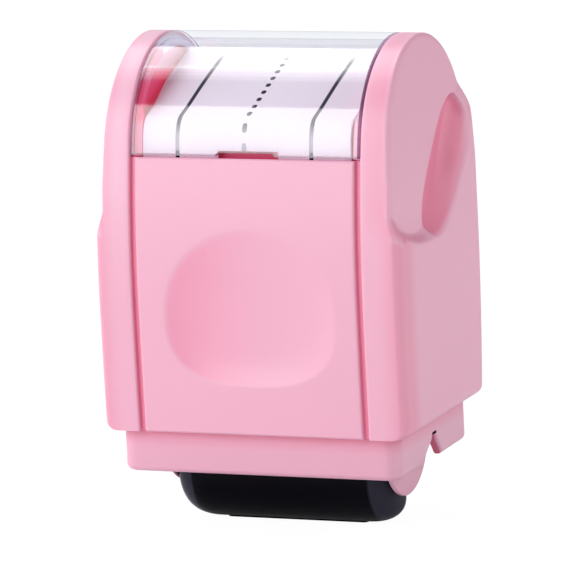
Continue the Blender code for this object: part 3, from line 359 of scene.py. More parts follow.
def clear_plastic():
    """Clear lid: what lies behind shows through, darkened along its edges by a painted seam shade, and light glances
    off the outer face.
    """
    f = Finish("clear plastic")
    outer = 1.0 - f.node("NewGeometry", output="Backfacing")
    glance = f.node("Fresnel", None, {"IOR": 1.80}) * outer
    clear = f.node("BsdfTransparent", None, {"Color": rgba((0.950, 0.955, 0.975))})
    # Painted seam shade: a dark mauve seen through the lid along its edges
    dark = f.node("BsdfTransparent", None, {"Color": rgba((0.52, 0.36, 0.50))})
    through = f.node("MixShader", None, {0: f.tint()[1], 1: clear, 2: dark})
    gloss = f.node("BsdfGlossy", None, {"Color": (1.0, 1.0, 1.0, 1.0), "Roughness": 0.10})
    return f.surface(f.node("MixShader", None, {0: glance, 1: through, 2: gloss}))


def metal(name, shade):
    """Plated steel with a faint drawn grain along the part."""
    f = Finish(name)
    stretched = f.node("Mapping", None, {"Vector": f.place(), "Scale": (60.0, 900.0, 900.0)})
    drawn = f.node("TexNoise", None, {"Vector": stretched, "Scale": 1.0}, "Fac")
    return f.principled({
        "Base Color": f.mix(drawn, rgba(shade, 0.9), rgba(shade)),
        "Metallic": 1.0,
        "Roughness": 0.2 + 0.15 * drawn,
    })


# Surfaces


def grid_faces(rows, columns, closed_rows, closed_columns):
    """Quads between neighbouring points of a grid that is stored row by row."""
    r = np.arange(rows if closed_rows else rows - 1)
    c = np.arange(columns if closed_columns else columns - 1)
    r, c = (a.ravel() for a in np.meshgrid(r, c, indexing="ij"))
    r_next, c_next = (r + 1) % rows, (c + 1) % columns
    return np.stack([r * columns + c, r * columns + c_next, r_next * columns + c_next, r_next * columns + c], 1)


class Skin:
    """Points and faces of a piece, gathered from grids."""

    def __init__(self):
        self.points = []
        self.faces = []
        self.tint = []
        self.count = 0

    def grid(self, x, y, z, closed_rows=False, closed_columns=True, caps=False, tint=(0.0, 0.0, 0.0)):
        """Add a grid of points; caps close its first and last row. Tint holds painted shading (a deeper pink, and a
        pale tone below 0), painted seam shade and painted light.
        """
        points = np.stack(np.broadcast_arrays(x, y, z), -1)
        rows, columns = points.shape[:2]
        self.points.append(points.reshape(-1, 3))
        self.tint.append(np.broadcast_to(tint, (rows, columns, 3)).reshape(-1, 3))
        faces = grid_faces(rows, columns, closed_rows, closed_columns) + self.count
        self.faces += faces.tolist()
        if caps:
            ring = np.arange(columns) + self.count
            self.faces += [ring.tolist(), (ring[::-1] + (rows - 1) * columns).tolist()]
        self.count += rows * columns

    def piece(self, name, material, side=1):
        """Make the object: merge doubled points, turn the faces outwards, set smooth shading."""
        mesh = bpy.data.meshes.new(name)
        points = np.concatenate(self.points)
        points[:, 0] *= side
        mesh.from_pydata(points, [], self.faces)
        mesh.attributes.new("tint", "FLOAT_VECTOR", "POINT").data.foreach_set(
            "vector", np.concatenate(self.tint).astype(np.float32).ravel())
        shape = bmesh.new()
        shape.from_mesh(mesh)
        bmesh.ops.remove_doubles(shape, verts=shape.verts, dist=2e-6)
        bmesh.ops.dissolve_degenerate(shape, edges=shape.edges, dist=1e-7)
        bmesh.ops.recalc_face_normals(shape, faces=shape.faces)
        shape.to_mesh(mesh)
        shape.free()
        mesh.shade_smooth()
        mesh.set_sharp_from_angle(angle=math.radians(35))
        mesh.materials.append(material)
        return link(bpy.data.objects.new(name, mesh))

    def stand_for(self, node, body, material, kind="surface", side=1):
        """Make the piece that shows in place of one of the model's nodes."""
        item = self.piece(f"{node}_{kind}", material, side)
        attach(item, body)
        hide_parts(node)
        return item


def ease(t):
    """An S-curve from 0 to 1."""
    t = np.clip(t, 0, 1)
    return t * t * (3 - 2 * t)


def between(value, low, rise, high, fall):
    """1 from low + rise up to high - fall, with S-curves down to 0 at low and at high."""
    return ease((value - low) / rise) * ease((high - value) / fall)


def curve_through(points, count):
    """A smooth curve through points: between two of them, a cubic that leaves each towards the next but one."""
    p = np.asarray(points, float)
    p = np.vstack([2 * p[0] - p[1], p, 2 * p[-1] - p[-2]])
    t = np.linspace(0, len(points) - 1, count)
    i = np.minimum(t.astype(int), len(points) - 2)
    t = (t - i)[:, None]
    a, b, c, d = p[i], p[i + 1], p[i + 2], p[i + 3]
    return 0.5 * (2 * b + (c - a) * t + (2 * a - 5 * b + 4 * c - d) * t ** 2 + (3 * b - a - 3 * c + d) * t ** 3)


def face_y(z, side, bulge_z, setback, lean):
    """Y of the front (side -1) or rear (side 1) face: the crown's circle above its join, a parabola that leaves the
    circle in line with it down to the bulge, and another one that draws in to the bottom."""
    join = CROWN_Z + CROWN_RADIUS * math.sin(lean)
    crown = np.sqrt(np.maximum(CROWN_RADIUS ** 2 - (z - CROWN_Z) ** 2, 0))
    reach = join - bulge_z
    top = reach * math.tan(lean) / 2
    bulge = CROWN_RADIUS * math.cos(lean) + top
    upper = bulge - top * ((z - bulge_z) / reach) ** 2
    lower = bulge - setback * ((bulge_z - z) / (bulge_z - CASING_LOW)) ** 2
    return CROWN_Y + side * np.where(z > join, crown, np.where(z > bulge_z, upper, lower))


def front_y(z):
    return face_y(z, *FRONT_FACE)


def rear_y(z):
    return face_y(z, *REAR_FACE)


def round_section(x_low, x_high, thickness, radius, across):
    """Closed section of a sheet as (x, depth): outer face with rounded corners, then the inner face back across the
    same columns."""
    turn = np.linspace(0, math.pi / 2, 6)
    left = np.stack([x_low + radius - radius * np.cos(turn), radius - radius * np.sin(turn)], 1)
    right = np.stack([x_high - radius + radius * np.sin(turn), radius - radius * np.cos(turn)], 1)
    flat = np.linspace(x_low + radius, x_high - radius, across)[1:-1]
    outer = np.vstack([left, np.stack([flat, np.zeros_like(flat)], 1), right])
    return outer, np.stack([outer[::-1, 0], np.full(len(outer), thickness)], 1)


def inward(y, z):
    """Unit normals that point into the casing along a path that climbs at the front."""
    dy, dz = np.gradient(y), np.gradient(z)
    size = np.hypot(dy, dz)
    return dz / size, -dy / size


def rounded(t):
    """How far a quarter circle has fallen at a share of its radius from the edge."""
    return 1 - np.sqrt(1 - np.clip(1 - t, 0, 1) ** 2)


def shoulder_share(y, z):
    """0 on the lower body and 1 on the arch: an S-curve across a band along the shoulder line, narrow under the
    arch's flat side and wide at its front edge and along the slanted hollow."""
    line = curve_through(np.array(SHOULDER) / 1000, 400)
    shoulder = np.interp(y, line[:, 0], line[:, 1])
    band = (0.0018 + 0.0034 * ease((-0.0155 - y) / 0.003) + 0.0042 * ease((y + 0.007) / 0.008)
            + 0.0030 * ease((y - 0.012) / 0.008))
    return ease((z - shoulder) / band + 0.5)


def half_width(y, z, s):
    """Half width of the casing: the lower body, less the step at the shoulder and the arch's draft, less the slanted
    finger hollow, less the rounded bottom edge. The hollow is a rounded oval with a crisp upper edge and a soft lower
    one, shallower at its low end. The second result is the share of painted shade: 1 where it darkens the hollow or
    the shoulder's front."""
    share = shoulder_share(y, z)
    x = s.wide - s.step * share - s.draft * np.clip((z - 0.0640) / 0.0240, 0, 1)
    dy, dz = y - HOLLOW_Y, z - HOLLOW_Z
    climb, across = math.sin(HOLLOW_SLOPE), math.cos(HOLLOW_SLOPE)
    u = (dy * across + dz * climb + HOLLOW_OFFSET[0]) / HOLLOW_HALF_LENGTH
    v = (dz * across - dy * climb + HOLLOW_OFFSET[1]) / HOLLOW_HALF_WIDTH
    end = np.sqrt(np.clip(1 - np.abs(u) ** 3, 0, 1))
    v = v / np.maximum(end, 1e-3) / np.where(v < 0, 1.3, 1.0)
    crisp = ease((1 - v) / 0.34)
    soft = 0.5 + 0.5 * np.cos(math.pi * np.clip(v, -1, 0))
    hollow = np.where(np.abs(v) < 1, np.where(v > 0, crisp, soft), 0) * end ** 0.5
    x = x - s.scoop * hollow * (1 - 0.45 * ease((HOLLOW_Z - z) / 0.009))
    # Painted shade: a mask over the finger hollow and along the front of the shoulder's ramp
    within = ease(end / 0.3) * ease(np.where(v > 0, (1 - v) / 0.12, hollow / 0.35))
    within = np.maximum(within, 2.2 * share * (1 - share) * ease((-0.0040 - y) / 0.006))
    return x - s.low_edge * rounded((z - CASING_LOW) / s.low_edge), within


def side_outline():
    """Points round the side, front bottom over the crown to rear bottom, each with its point on the spine: straight
    back to the middle below the crown's centre, and the centre itself above it."""
    rise = np.linspace(CASING_LOW, CROWN_Z, 150)
    rise = np.concatenate([CASING_LOW + (rise[1] - CASING_LOW) * np.linspace(0, 1, 6)[:-1], rise[1:]])
    turn = np.linspace(math.pi, 0, 200)[1:-1]
    z = np.concatenate([rise, CROWN_Z + CROWN_RADIUS * np.sin(turn), rise[::-1]])
    front = np.arange(len(z)) < len(rise) + np.count_nonzero(turn > math.pi / 2)
    y = np.where(front, front_y(z), rear_y(z))
    return y, z, np.full_like(z, CROWN_Y), np.minimum(z, CROWN_Z), front


def painted_wall_shading(y, z):
    """Painted light and shade on a side's inner wall: crimson painted shade with painted light in a band under the
    crown that leans with Y, and a pale painted light above it.
    """
    height = z + 0.14 * y
    return (0.10 + 0.6 * between(height, 0.0748, 0.0014, 0.0826, 0.0015) - 0.15 * ease((height - 0.0820) / 0.001)
            - 0.35 * ease((height - 0.0854) / 0.0015))


def painted_ledge_shading(y, z, lid, side):
    """Painted light and shade of the ledge beside the lid or panel, then the painted shade and painted light of the
    rail's wall: crimson painted shade with painted light on the left, pale painted light on the crown, purple painted
    shade along the right seam."""
    crown = ease((y + 0.0055) / 0.002)
    purple = np.where(lid & (side > 0), 0.85 * ease((z - 0.0750) / 0.0050), 0.0)
    lit = between(z, 0.0750, 0.0015, 0.0840, 0.0020)
    glow = np.where(lid, (0.28 - 0.08 * crown + 0.38 * lit if side < 0 else 0.05) * (1 - purple), 0.2)
    painted_shading = np.where(lid, 0.40 + 0.5 * lit - 1.30 * crown if side < 0 else 0.0, 0.2)
    dark = np.maximum(np.where(lid, 0.4 * (1 - crown), 0.0), purple)
    return (painted_shading, purple, glow), dark, np.where(lid, (0.1 + 0.1 * crown) * (1 - purple), 0.2)


def side_shell(name, side, s, material):
    """A side of the casing. Rows follow the outline; columns run up the inner wall to the lip under the lid, round the
    rail's inner corner and over the rim, round the edge as a quarter of an ellipse and over the side to the spine."""
    y, z, spine_y, spine_z, front = side_outline()
    reach = np.hypot(spine_y - y, spine_z - z)
    ey, ez = (spine_y - y) / reach, (spine_z - z) / reach
    lid = (z > np.where(front, FRONT_SEAM_Z, PIVOT_Z - BEAD_RADIUS))
    near = np.where(lid, s.lid + SEAM_GAP, 0.0009)
    far = np.where(lid, s.lid + SEAM_GAP + 0.0012, s.wall)
    lip = s.rail - 0.0012 - np.where(front, 0.0006 * ease((0.0785 - z) / 0.002), 0.0)
    lip = np.where(lid & ((z > PIVOT_Z + 0.003) | front), lip, s.rail + 0.0014)
    inside = np.select([z > 0.058, z > 0.050], [s.rail, s.wide - s.step - 0.0021], s.wide - 0.0018)
    arch = shoulder_share(y, z)
    tight = np.where(front, arch, 1.0)
    edge = s.edge + (s.arch_edge - s.edge) * tight
    run = s.edge_run + (s.arch_run - s.edge_run) * tight
    depth, x, tint = [], [], []

    def column(across, deep, painted_shading=0.0, painted_seam_dark=0.0, glow=0.0):
        for line, values in ((x, across), (depth, deep)):
            line.append(np.broadcast_to(values, z.shape))
        tint.append(np.stack([np.broadcast_to(a, z.shape) for a in (painted_shading, painted_seam_dark, glow)], 1))

    # Inner wall: above 60 mm it takes the wall's painted shade and painted light
    for share in np.linspace(1, 0, 40) ** 1.5:
        deep = far + (reach - far) * share
        within = np.where(z > 0.060, painted_wall_shading(y + ey * deep, z + ez * deep), 0.0)
        column(inside, deep, within, 0.0, np.maximum(within, 0))
    # The ledge and the rail's wall take painted shade and painted light along the lid's and panels' seams
    ledge, dark, gap = painted_ledge_shading(y, z, lid, side)
    column(lip, far, *ledge)
    for across in (lip, s.rail + np.where(lid, -0.00045, 0.0008), s.rail + np.where(lid, -0.0003, 0.0006)):
        column(across, near, *ledge)
    for share, painted_glow in ((1.0, 1.0), (0.75, 0.6), (0.65, 0.3)):
        column(s.rail, near * share, ledge[0], dark, gap * painted_glow)
    corner = 0.00036
    for turn in np.linspace(0, math.pi / 2, 5):
        column(s.rail + corner - corner * math.cos(turn), corner - corner * math.sin(turn))
    rim = s.rail + corner
    # Painted shade: a deeper pink along the front edge's rounding, the rim beside it and the side just behind it,
    # fading out up the crown
    painted_edge_shade = np.where(front, (0.42 - 0.18 * arch) * (1 - ease((z - 0.0820) / 0.0080)), 0.0)
    for turn in np.linspace(0, math.pi / 2, 10):
        deep = run * (1 - math.cos(turn))
        width, hollow = half_width(y + ey * deep, z + ez * deep, s)
        if turn == 0:
            # Painted light and shade across the rim: paler up the left side, deeper up the right
            tone = -0.12 * ease((z - 0.0480) / 0.020) if side < 0 else 0.2 * ease((z - 0.053) / 0.008)
            for share in np.linspace(0, 1, 10)[1:-1]:
                shade = tone * ease(4 * share * (1 - share)) + 0.6 * painted_edge_shade * ease(share * 1.8 - 0.8)
                column(rim + (width - edge - rim) * share, 0.0, shade)
        # Painted shade in the finger hollow and on the shoulder's front, elsewhere the front edge's painted shade
        shade = painted_edge_shade * (0.6 + 0.25 * turn) * (1 - arch)
        column(width - edge * (1 - math.sin(turn)), deep, np.where(hollow > 0, 0.68 * hollow, shade))
    for share in np.linspace(0, 1, 76)[1:]:
        deep = run + (reach - run) * share
        width, hollow = half_width(y + ey * deep, z + ez * deep, s)
        past = ease((deep - run - 0.0018 * (1 - arch)) / (0.0052 - 0.0039 * arch))
        column(width, deep, np.maximum(0.68 * hollow, painted_edge_shade * (1 - past)))
    x, depth, tint = (np.stack(a, 1) for a in (x, depth, tint))
    skin = Skin()
    skin.grid(x, y[:, None] + ey[:, None] * depth, z[:, None] + ez[:, None] * depth, closed_columns=False, caps=True,
              tint=tint)
    skin.stand_for(name, "casing", material, side=side)


def dimple(x, z, depth):
    """Depth of the thumb hollow: an oval, rounder above and flatter below, whose floor meets a steep lower wall and
    runs out softly at the top."""
    across = np.abs(x - DIMPLE_X) / DIMPLE_SIDE
    rise = (z - DIMPLE_Z) / np.where(z > DIMPLE_Z, DIMPLE_UP, DIMPLE_DOWN)
    power = np.where(rise > 0, 2.1, 2.7)
    r = np.clip((across ** power + np.abs(rise) ** power) ** (1 / power), 1e-4, 1)
    wall = 3.6 - 1.5 * np.clip(rise / r, -1, 1)
    return depth * (1 - r ** wall) ** 1.12


def panel(name, side_y, top, s, material):
    """Front or rear panel: a rounded section carried up the casing's face, with the thumb hollow pressed in and a
    tongue on each side. Painted shade deepens the pink of the hollow's left part on the front, with a little painted
    light, and the tongues in the grooves take painted shade and painted light."""
    edge, step = s.rail - s.groove, 0.0011
    tongue = s.rail + step
    section, _ = round_section(-edge, edge, 0.0012, 0.0004, 110)
    outer = len(section)
    tail = [(edge, step), (tongue, step), (tongue, s.wall), (-tongue, s.wall), (-tongue, step), (-edge, step)]
    section = np.vstack([section, tail])
    z = np.linspace(CASING_LOW, top, 150)
    y = side_y(z)
    flip = 1 if y[0] < 0 else -1
    ny, nz = inward(y * flip, z)
    depth = np.broadcast_to(section[:, 1], (len(z), len(section))).copy()
    x = np.broadcast_to(section[:, 0], depth.shape)
    ends = np.minimum(z - CASING_LOW, top - z)[:, None]
    lip = 0.0003
    round_end = lip - np.sqrt(lip ** 2 - (lip - np.minimum(ends, lip)) ** 2)
    depth[:, :outer] = np.maximum(depth[:, :outer], round_end) + dimple(x[:, :outer], z[:, None], s.dimple)
    tint = np.zeros((*depth.shape, 3))
    # Painted shade and painted light in the grooves: the tongues take a deeper, crimson pink that glows
    tint[:, outer:] = (0.25, 0.0, 0.2)
    # Painted shade, with a little painted light, in the left part of the front's thumb hollow
    hollow = dimple(x[:, :outer], z[:, None], 1.0)
    left = ease(hollow * 6) * ease(0.30 - x[:, :outer] / 0.020) * (flip > 0)
    tint[:, :outer] = left[..., None] * (0.22, 0.0, 0.10)
    skin = Skin()
    skin.grid(x, y[:, None] + flip * depth * ny[:, None], z[:, None] + depth * nz[:, None], caps=True, tint=tint)
    skin.stand_for(name, "casing", material)


def lid(s, material):
    """Clear lid: a sheet bent round the crown; its front edge rises in a trapezoid notch, and its rear edge swells into
    a round bead."""
    edge = s.rail - 0.00035
    section = np.vstack(round_section(-edge, edge, s.lid, 0.0002, 130))
    x, depth = section[:, 0], section[:, 1]
    low = FRONT_SEAM_Z + SEAM_GAP
    notch = 0.0006 * ease((0.0057 - np.abs(x - 0.0002)) / 0.0006)
    start = math.pi - np.arcsin((low + notch - CROWN_Z) / CROWN_RADIUS)
    end = math.asin((PIVOT_Z - BEAD_RADIUS - CROWN_Z) / CROWN_RADIUS)
    share = np.linspace(0, 1, 150)
    share = np.concatenate([[0, 0.0015], share[1:-1], 1 - (1 - share[-2]) * np.linspace(0.9, 0, 8)])[:, None]
    turn = start + (end - start) * share
    z = CROWN_Z + CROWN_RADIUS * np.sin(turn)
    y = np.where(turn > math.pi / 2, front_y(z), rear_y(z))
    along = CROWN_RADIUS * (turn - math.asin((PIVOT_Z - CROWN_Z) / CROWN_RADIUS))
    bulge = np.sqrt(np.clip(BEAD_RADIUS ** 2 - along ** 2, 0, None))
    outer = np.where(along < 0, BEAD_RADIUS - bulge, 0.0)
    inner = np.maximum(np.where(along > -BEAD_RADIUS, BEAD_RADIUS + bulge, 0), np.where(along > 0, s.lid, 0))
    deep = np.where(depth > s.lid / 2, inner, np.maximum(depth, outer))
    deep[0] = s.lid / 2
    deep[-1] = BEAD_RADIUS
    cy, cz = np.cos(turn), np.sin(turn)
    # Painted seam shade: the corners of the lid's side edges, all of its right edge, and its lower front edge
    corner = (np.abs(x) > edge - 0.00015) & ((np.abs(x) < edge - 1e-6) | (x > 0))
    painted_seam_dark = np.broadcast_to(corner, deep.shape) | (share < 0.002)
    skin = Skin()
    skin.grid(x, y - deep * cy, z - deep * cz, tint=painted_seam_dark[..., None] * np.array([0.0, 1.0, 0.0]))
    skin.stand_for("window", "lid", material, kind="sheet")


def card(s, material):
    """Printed card: a thin sheet carried along a smooth line over the deck, its lower edge cut back behind the lid's
    notch and its left edge a little wider up the slope; V is the length along it in metres."""
    line = curve_through(np.array(CARD_PATH) / 1000, 400)
    along = np.concatenate([[0], np.cumsum(np.hypot(*np.diff(line, axis=0).T))])
    section = np.vstack(round_section(-0.0197, 0.0196, s.card, 0.0001, 90))
    x, depth = section[:, 0], section[:, 1]
    left = ease((-0.0150 - x) / 0.0047)
    cut = ease((0.0062 - np.abs(x - 0.0002)) / 0.0004) * 0.0083
    place = along[-1] * np.linspace(0, 1, 200)[:, None]
    place = np.maximum(place, cut * (1 - place / 0.0120) + place)
    y, z = (np.interp(place, along, line[:, i]) for i in range(2))
    ny, nz = (np.interp(place, along, n) for n in inward(line[:, 0], line[:, 1]))
    skin = Skin()
    depth = np.broadcast_to(depth, place.shape).copy()
    depth[[0, -1]] = s.card / 2
    flare = left * (0.0002 + 0.0010 * ease((place - 0.0160) / 0.0140))
    skin.grid(x - flare, y + depth * ny, z + depth * nz, tint=place[..., None] * np.array([1.0, 0.0, 0.0]))
    mesh = skin.stand_for("label_card", "casing", material, kind="sheet").data
    heights, points = np.zeros((2, len(mesh.vertices), 3), np.float32)
    mesh.attributes["tint"].data.foreach_get("vector", heights.ravel())
    mesh.vertices.foreach_get("co", points.ravel())
    loops = np.zeros(len(mesh.loops), np.int32)
    mesh.loops.foreach_get("vertex_index", loops)
    uv = np.stack([points[loops, 0], heights[loops, 0]], 1)
    mesh.uv_layers.new(name="UVMap").uv.foreach_set("vector", uv.ravel())


def plan_outline(s, inset, count):
    """Rounded rectangle seen from above, with points spread evenly: (x, y) and the outward normal there."""
    x1, y0, y1 = s.skirt - inset, SKIRT_FRONT_Y + inset, SKIRT_REAR_Y - inset
    r = SKIRT_RADIUS - inset
    turn = np.linspace(0, math.pi / 2, 9)
    parts = []
    for quarter, (cx, cy) in enumerate([(x1 - r, y1 - r), (r - x1, y1 - r), (r - x1, y0 + r), (x1 - r, y0 + r)]):
        nx, ny = np.cos(turn + quarter * math.pi / 2), np.sin(turn + quarter * math.pi / 2)
        parts.append(np.stack([cx + r * nx, cy + r * ny, nx, ny], 1))
    p = np.vstack(parts + [parts[0][:1]])
    travelled = np.concatenate([[0], np.cumsum(np.hypot(*np.diff(p[:, :2], axis=0).T))])
    even = np.linspace(0, travelled[-1], count + 1)[:-1]
    return np.stack([np.interp(even, travelled, p[:, i]) for i in range(4)], 1)


def skirt_low(x, y, s):
    """Height of the skirt's lower edge: level, and raised at each side in an arched notch."""
    front = np.interp(y, [-0.0066, -0.0056, -0.0019, -0.0012], [0, 0.0006, 0.0030, 0.0040])
    rear = np.interp(y, [0.0006, 0.0011, 0.0031, 0.0036], [0.0040, 0.0030, 0.0006, 0])
    return SKIRT_LOW + np.where(np.abs(x) > s.skirt - NOTCH_DEPTH, np.minimum(front, rear), 0)


def inner_frame(s, material):
    """Inner frame: a wall round a rounded rectangle with a rounded lower edge and an arched notch at each side, the
    top plate and the ears."""
    plan = plan_outline(s, 0.0, 900)
    x, y, nx, ny = (plan[:, i:i + 1] for i in range(4))
    low = skirt_low(x, y, s)
    turn = np.linspace(0, math.pi / 2, 7)
    outer, inner = 0.0011, 0.0005
    depth = np.concatenate([[0, 0, 0, 0], outer * (1 - np.cos(turn)), FRAME_WALL - inner * (1 - np.sin(turn)),
                            [FRAME_WALL]])
    lift = np.concatenate([outer * (1 - np.sin(turn)), inner * (1 - np.cos(turn))])
    height = low + np.broadcast_to(lift, (len(x), len(lift)))
    fixed = np.broadcast_to([FRAME_TOP, 0.0199, 0.0185, 0.0165], (len(x), 4))
    height = np.hstack([fixed, height, fixed[:, :1]])
    tint = np.zeros((*height.shape, 3))
    # Painted shade under the casing: the skirt's top rows take a deeper pink that fades downwards
    tint[:, :4, 0] = (0.75, 0.75, 0.30, 0.0)
    notched = (np.abs(x) > s.skirt - NOTCH_DEPTH) & (y > -0.0070) & (y < 0.0040)
    # Painted light: the sides that face along X are a little paler
    tint[..., 0] = np.where((np.abs(nx) > 0.7) & (tint[..., 0] < 0.1), -0.06, tint[..., 0])
    # Painted shade: a deep crimson pink inside the side notches
    tint[:, 8:, 0] = 0.95 * notched
    skin = Skin()
    skin.grid(x - nx * depth, y - ny * depth, height, closed_rows=True, tint=tint)
    ring = plan_outline(s, 0.0009, 120)
    levels = FRAME_TOP - np.array([0.0018, 0.0018, 0.0, 0.0])[:, None]
    scale = np.array([0.0, 1.0, 1.0, 0.0])[:, None]
    skin.grid(ring[:, 0] * scale, ring[:, 1] * scale, levels)
    ears(skin)
    skin.stand_for("inner_frame", "frame", material)


def ears(skin):
    """Two thin ears with round lower ends that hold the axle, each on a flat plate."""
    angle = np.linspace(-math.pi / 2, math.pi / 2, 60)
    lobe_y = EAR_RADIUS * np.concatenate([np.sin(angle), [1, -1]])
    lobe_z = np.concatenate([-EAR_RADIUS * np.cos(angle), [0.0410 - EAR_Z] * 2])
    for side in (-1, 1):
        inner, outer, lift = (0.02085, 0.02170, 0.0) if side > 0 else (0.02120, 0.02165, 0.0014)
        across = np.array([inner, inner, inner + 0.00015, outer - 0.00015, outer, outer])[:, None] * side
        shrink = np.array([0.0, 0.9846, 1.0, 1.0, 0.9846, 0.0])[:, None]
        skin.grid(across, EAR_Y + lobe_y * shrink, EAR_Z + lift * (lobe_z < 0.0141) + lobe_z * shrink)
        plate = np.array([[-0.0181, 0.0245], [0.0167, 0.0245], [0.0167, 0.0411], [-0.0181, 0.0411]])
        skin.grid(np.array([0.02135, 0.02255])[:, None] * side, plate[:, 0], plate[:, 1], caps=True)


def turned(skin, profile, sweep=(0, 360), steps=96, centre=(0, AXLE_Z), scale=None, tint=(0.0, 0.0, 0.0), shift=0.0,
           narrow=0.0):
    """A closed loop of (x, radius) turned about a line along X; angle 0 points down, -90 degrees forward. It can be
    moved along X, and its ends drawn in by a share that grows towards the last angle."""
    start, end = (math.radians(angle) for angle in sweep)
    whole = sweep == (0, 360)
    angle = np.linspace(start, end, steps, endpoint=not whole)[:, None]
    x, r = np.asarray(profile).T
    r = r if scale is None else scale(x, r, angle)
    x = shift + x * (1 - narrow * ease((angle + 0.17) / (end + 0.17)))
    skin.grid(x, centre[0] + r * np.sin(angle), centre[1] - r * np.cos(angle), closed_rows=whole, caps=not whole,
              tint=tint)


def box_loop(x_low, x_high, r_low, r_high, radius, steps=4):
    """A rectangle whose corners are rounded by curves from one side to the next."""
    p = np.array([(x_low, r_low), (x_high, r_low), (x_high, r_high), (x_low, r_high)])
    ways = [np.roll(p, shift, 0) - p for shift in (1, -1)]
    start, end = (p + way / np.linalg.norm(way, axis=1)[:, None] * radius for way in ways)
    t = np.linspace(0, 1, steps)[None, :, None]
    loop = start[:, None] * (1 - t) ** 2 + 2 * p[:, None] * t * (1 - t) + end[:, None] * t ** 2
    return loop.reshape(-1, 2)


def shutter(s, material):
    """Shutter: a rounded-end trough turned part of the way round the roller, with a fine ring line near each end,
    round end bosses and the flat foot."""
    half, reach, fall, wall, shift = 0.0209, 0.0070, 0.0052, 0.0012, -0.0002
    turn = np.linspace(0, math.pi / 2, 20)
    bend_x = half - reach * (1 - np.sin(turn) ** 0.8)
    bend_r = s.shutter - fall * (1 - np.cos(turn) ** 0.8)
    span = np.linspace(0, half - reach, 24)[:-1]
    outer_x, outer_r = np.concatenate([span, bend_x]), np.concatenate([np.full_like(span, s.shutter), bend_r])
    outer_r = outer_r - 0.00014 * np.exp(-((outer_x - 0.0170) / 0.00012) ** 2)
    right = np.concatenate([np.stack([outer_x, outer_r], 1), [[half, 0.0025], [half - wall, 0.0025]],
                            np.stack([outer_x * (half - wall) / half, np.minimum(outer_r, s.shutter) - wall], 1)[::-1]])
    left = right[::-1] * np.array([-1, 1])
    profile = np.concatenate([right, left[1:-1]])
    # Painted reflection: beyond the ring lines the rounded ends lighten towards blue-grey
    ends = np.where(np.abs(profile[:, 0]) > 0.0172, 0.75, 0.0)
    skin = Skin()
    turned(skin, profile, (-92, 54), 64, tint=np.outer(ends, (1, 0, 0)), shift=shift, narrow=0.12)
    for side in (-1, 1):
        turned(skin, box_loop(side * 0.0191, side * 0.0205, 0.0025, 0.0046, 0.0002), steps=72)
    foot = box_loop(-0.0138, 0.0138, -0.0022, 0.0022, 0.0010, 7)
    level = np.array([0.0, 0.0, 0.0002, 0.0010, 0.0010])[:, None]
    scale = np.array([0.0, 0.985, 1.0, 1.0, 0.0])[:, None]
    skin.grid(foot[:, 0] * scale, foot[:, 1] * scale, level)
    skin.stand_for("shutter", "shutter", material)


def guard(material):
    """Shield behind the roller: a thin trough with rounded edges."""
    skin = Skin()
    turned(skin, box_loop(-0.0178, 0.0178, 0.01117, 0.01227, 0.0004), (62, 112), 32)
    skin.stand_for("rear_guard", "frame", material)


def rollers(s, colours):
    """Stamping and ink rollers, turned smooth, with the printed lines raised on the sleeve."""
    rubber = moulded("rubber", colours.rubber, 0.62, tone=0.8, grain=0.25)
    white = moulded("white plastic", colours.white, 0.4)
    foam = moulded("ink foam", (0.03, 0.03, 0.05), 0.85, grain=0.6)

    def raised(x, r, angle):
        """The sleeve's radius: raised on both outer lines, and on the middle one over its dashes."""
        outer, middle = (ease((LINE_HALF_WIDTH - np.abs(off)) / 0.00014) for off in (np.abs(x) - s.spacing, x))
        turn = np.abs(np.mod(angle * DASHES / (2 * math.pi) + 0.5, 1) - 0.5)
        middle = middle * ease((0.275 - turn) / 0.04 + 0.5)
        return np.where(r > 0.007, SLEEVE_RADIUS + (LINE_RADIUS - SLEEVE_RADIUS) * np.maximum(outer, middle), r)

    x = np.linspace(-SLEEVE_HALF_LENGTH, SLEEVE_HALF_LENGTH, 410)
    sleeve = np.vstack([np.stack([x, np.full_like(x, SLEEVE_RADIUS)], 1),
                        [[x[-1], SLEEVE_BORE], [x[0], SLEEVE_BORE]]])
    end = ROLLER_HALF_LENGTH
    low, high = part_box("ink_roller")
    around_ink = {"centre": ((low.y + high.y) / 2, (low.z + high.z) / 2)}
    ink_loop = box_loop(low.x, high.x, 0.0013, (high.z - low.z) / 2, 0.0004)
    left, right = (box_loop(side * 0.0148, side * end, SLEEVE_BORE, LINE_RADIUS, 0.0004, 6) for side in (-1, 1))
    for node, body, slot, material, profile, turning in (
            ("roller_core", "roller", "white_plastic", white, box_loop(-end, end, 0.00155, 0.0060, 0.0003), {}),
            ("stamp_sleeve", "roller", "rubber", rubber, sleeve, {"steps": 192, "scale": raised}),
            ("left_grip_tyre", "roller", "rubber", rubber, left, {}),
            ("right_grip_tyre", "roller", "rubber", rubber, right, {}),
            ("ink_roller", "ink", "ink_foam", foam, ink_loop, around_ink)):
        skin = Skin()
        turned(skin, profile, **turning)
        skin.stand_for(node, body, material)


def return_springs(material):
    """Return springs: a wire whose centre climbs evenly with the angle, so that z = low + rise * turn."""
    wire, turns, travel = 0.00035, 5, 0.0070
    turn = np.linspace(0, turns * 2 * math.pi, 241)[:, None]
    around = np.linspace(0, 2 * math.pi, 13)[:-1]
    for name in ("left_return_spring", "right_return_spring"):
        low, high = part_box(name)
        middle = (low.x + high.x) / 2
        r = (high.x - low.x) / 2 - wire * (1 - np.cos(around))
        climb = (high.z - low.z - 2 * wire) * turn / turn[-1]
        skin = Skin()
        skin.grid(middle + r * np.cos(turn), r * np.sin(turn), low.z + climb + wire * (1 + np.sin(around)), caps=True)
        item = skin.stand_for(name, "casing", material)
        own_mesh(item)


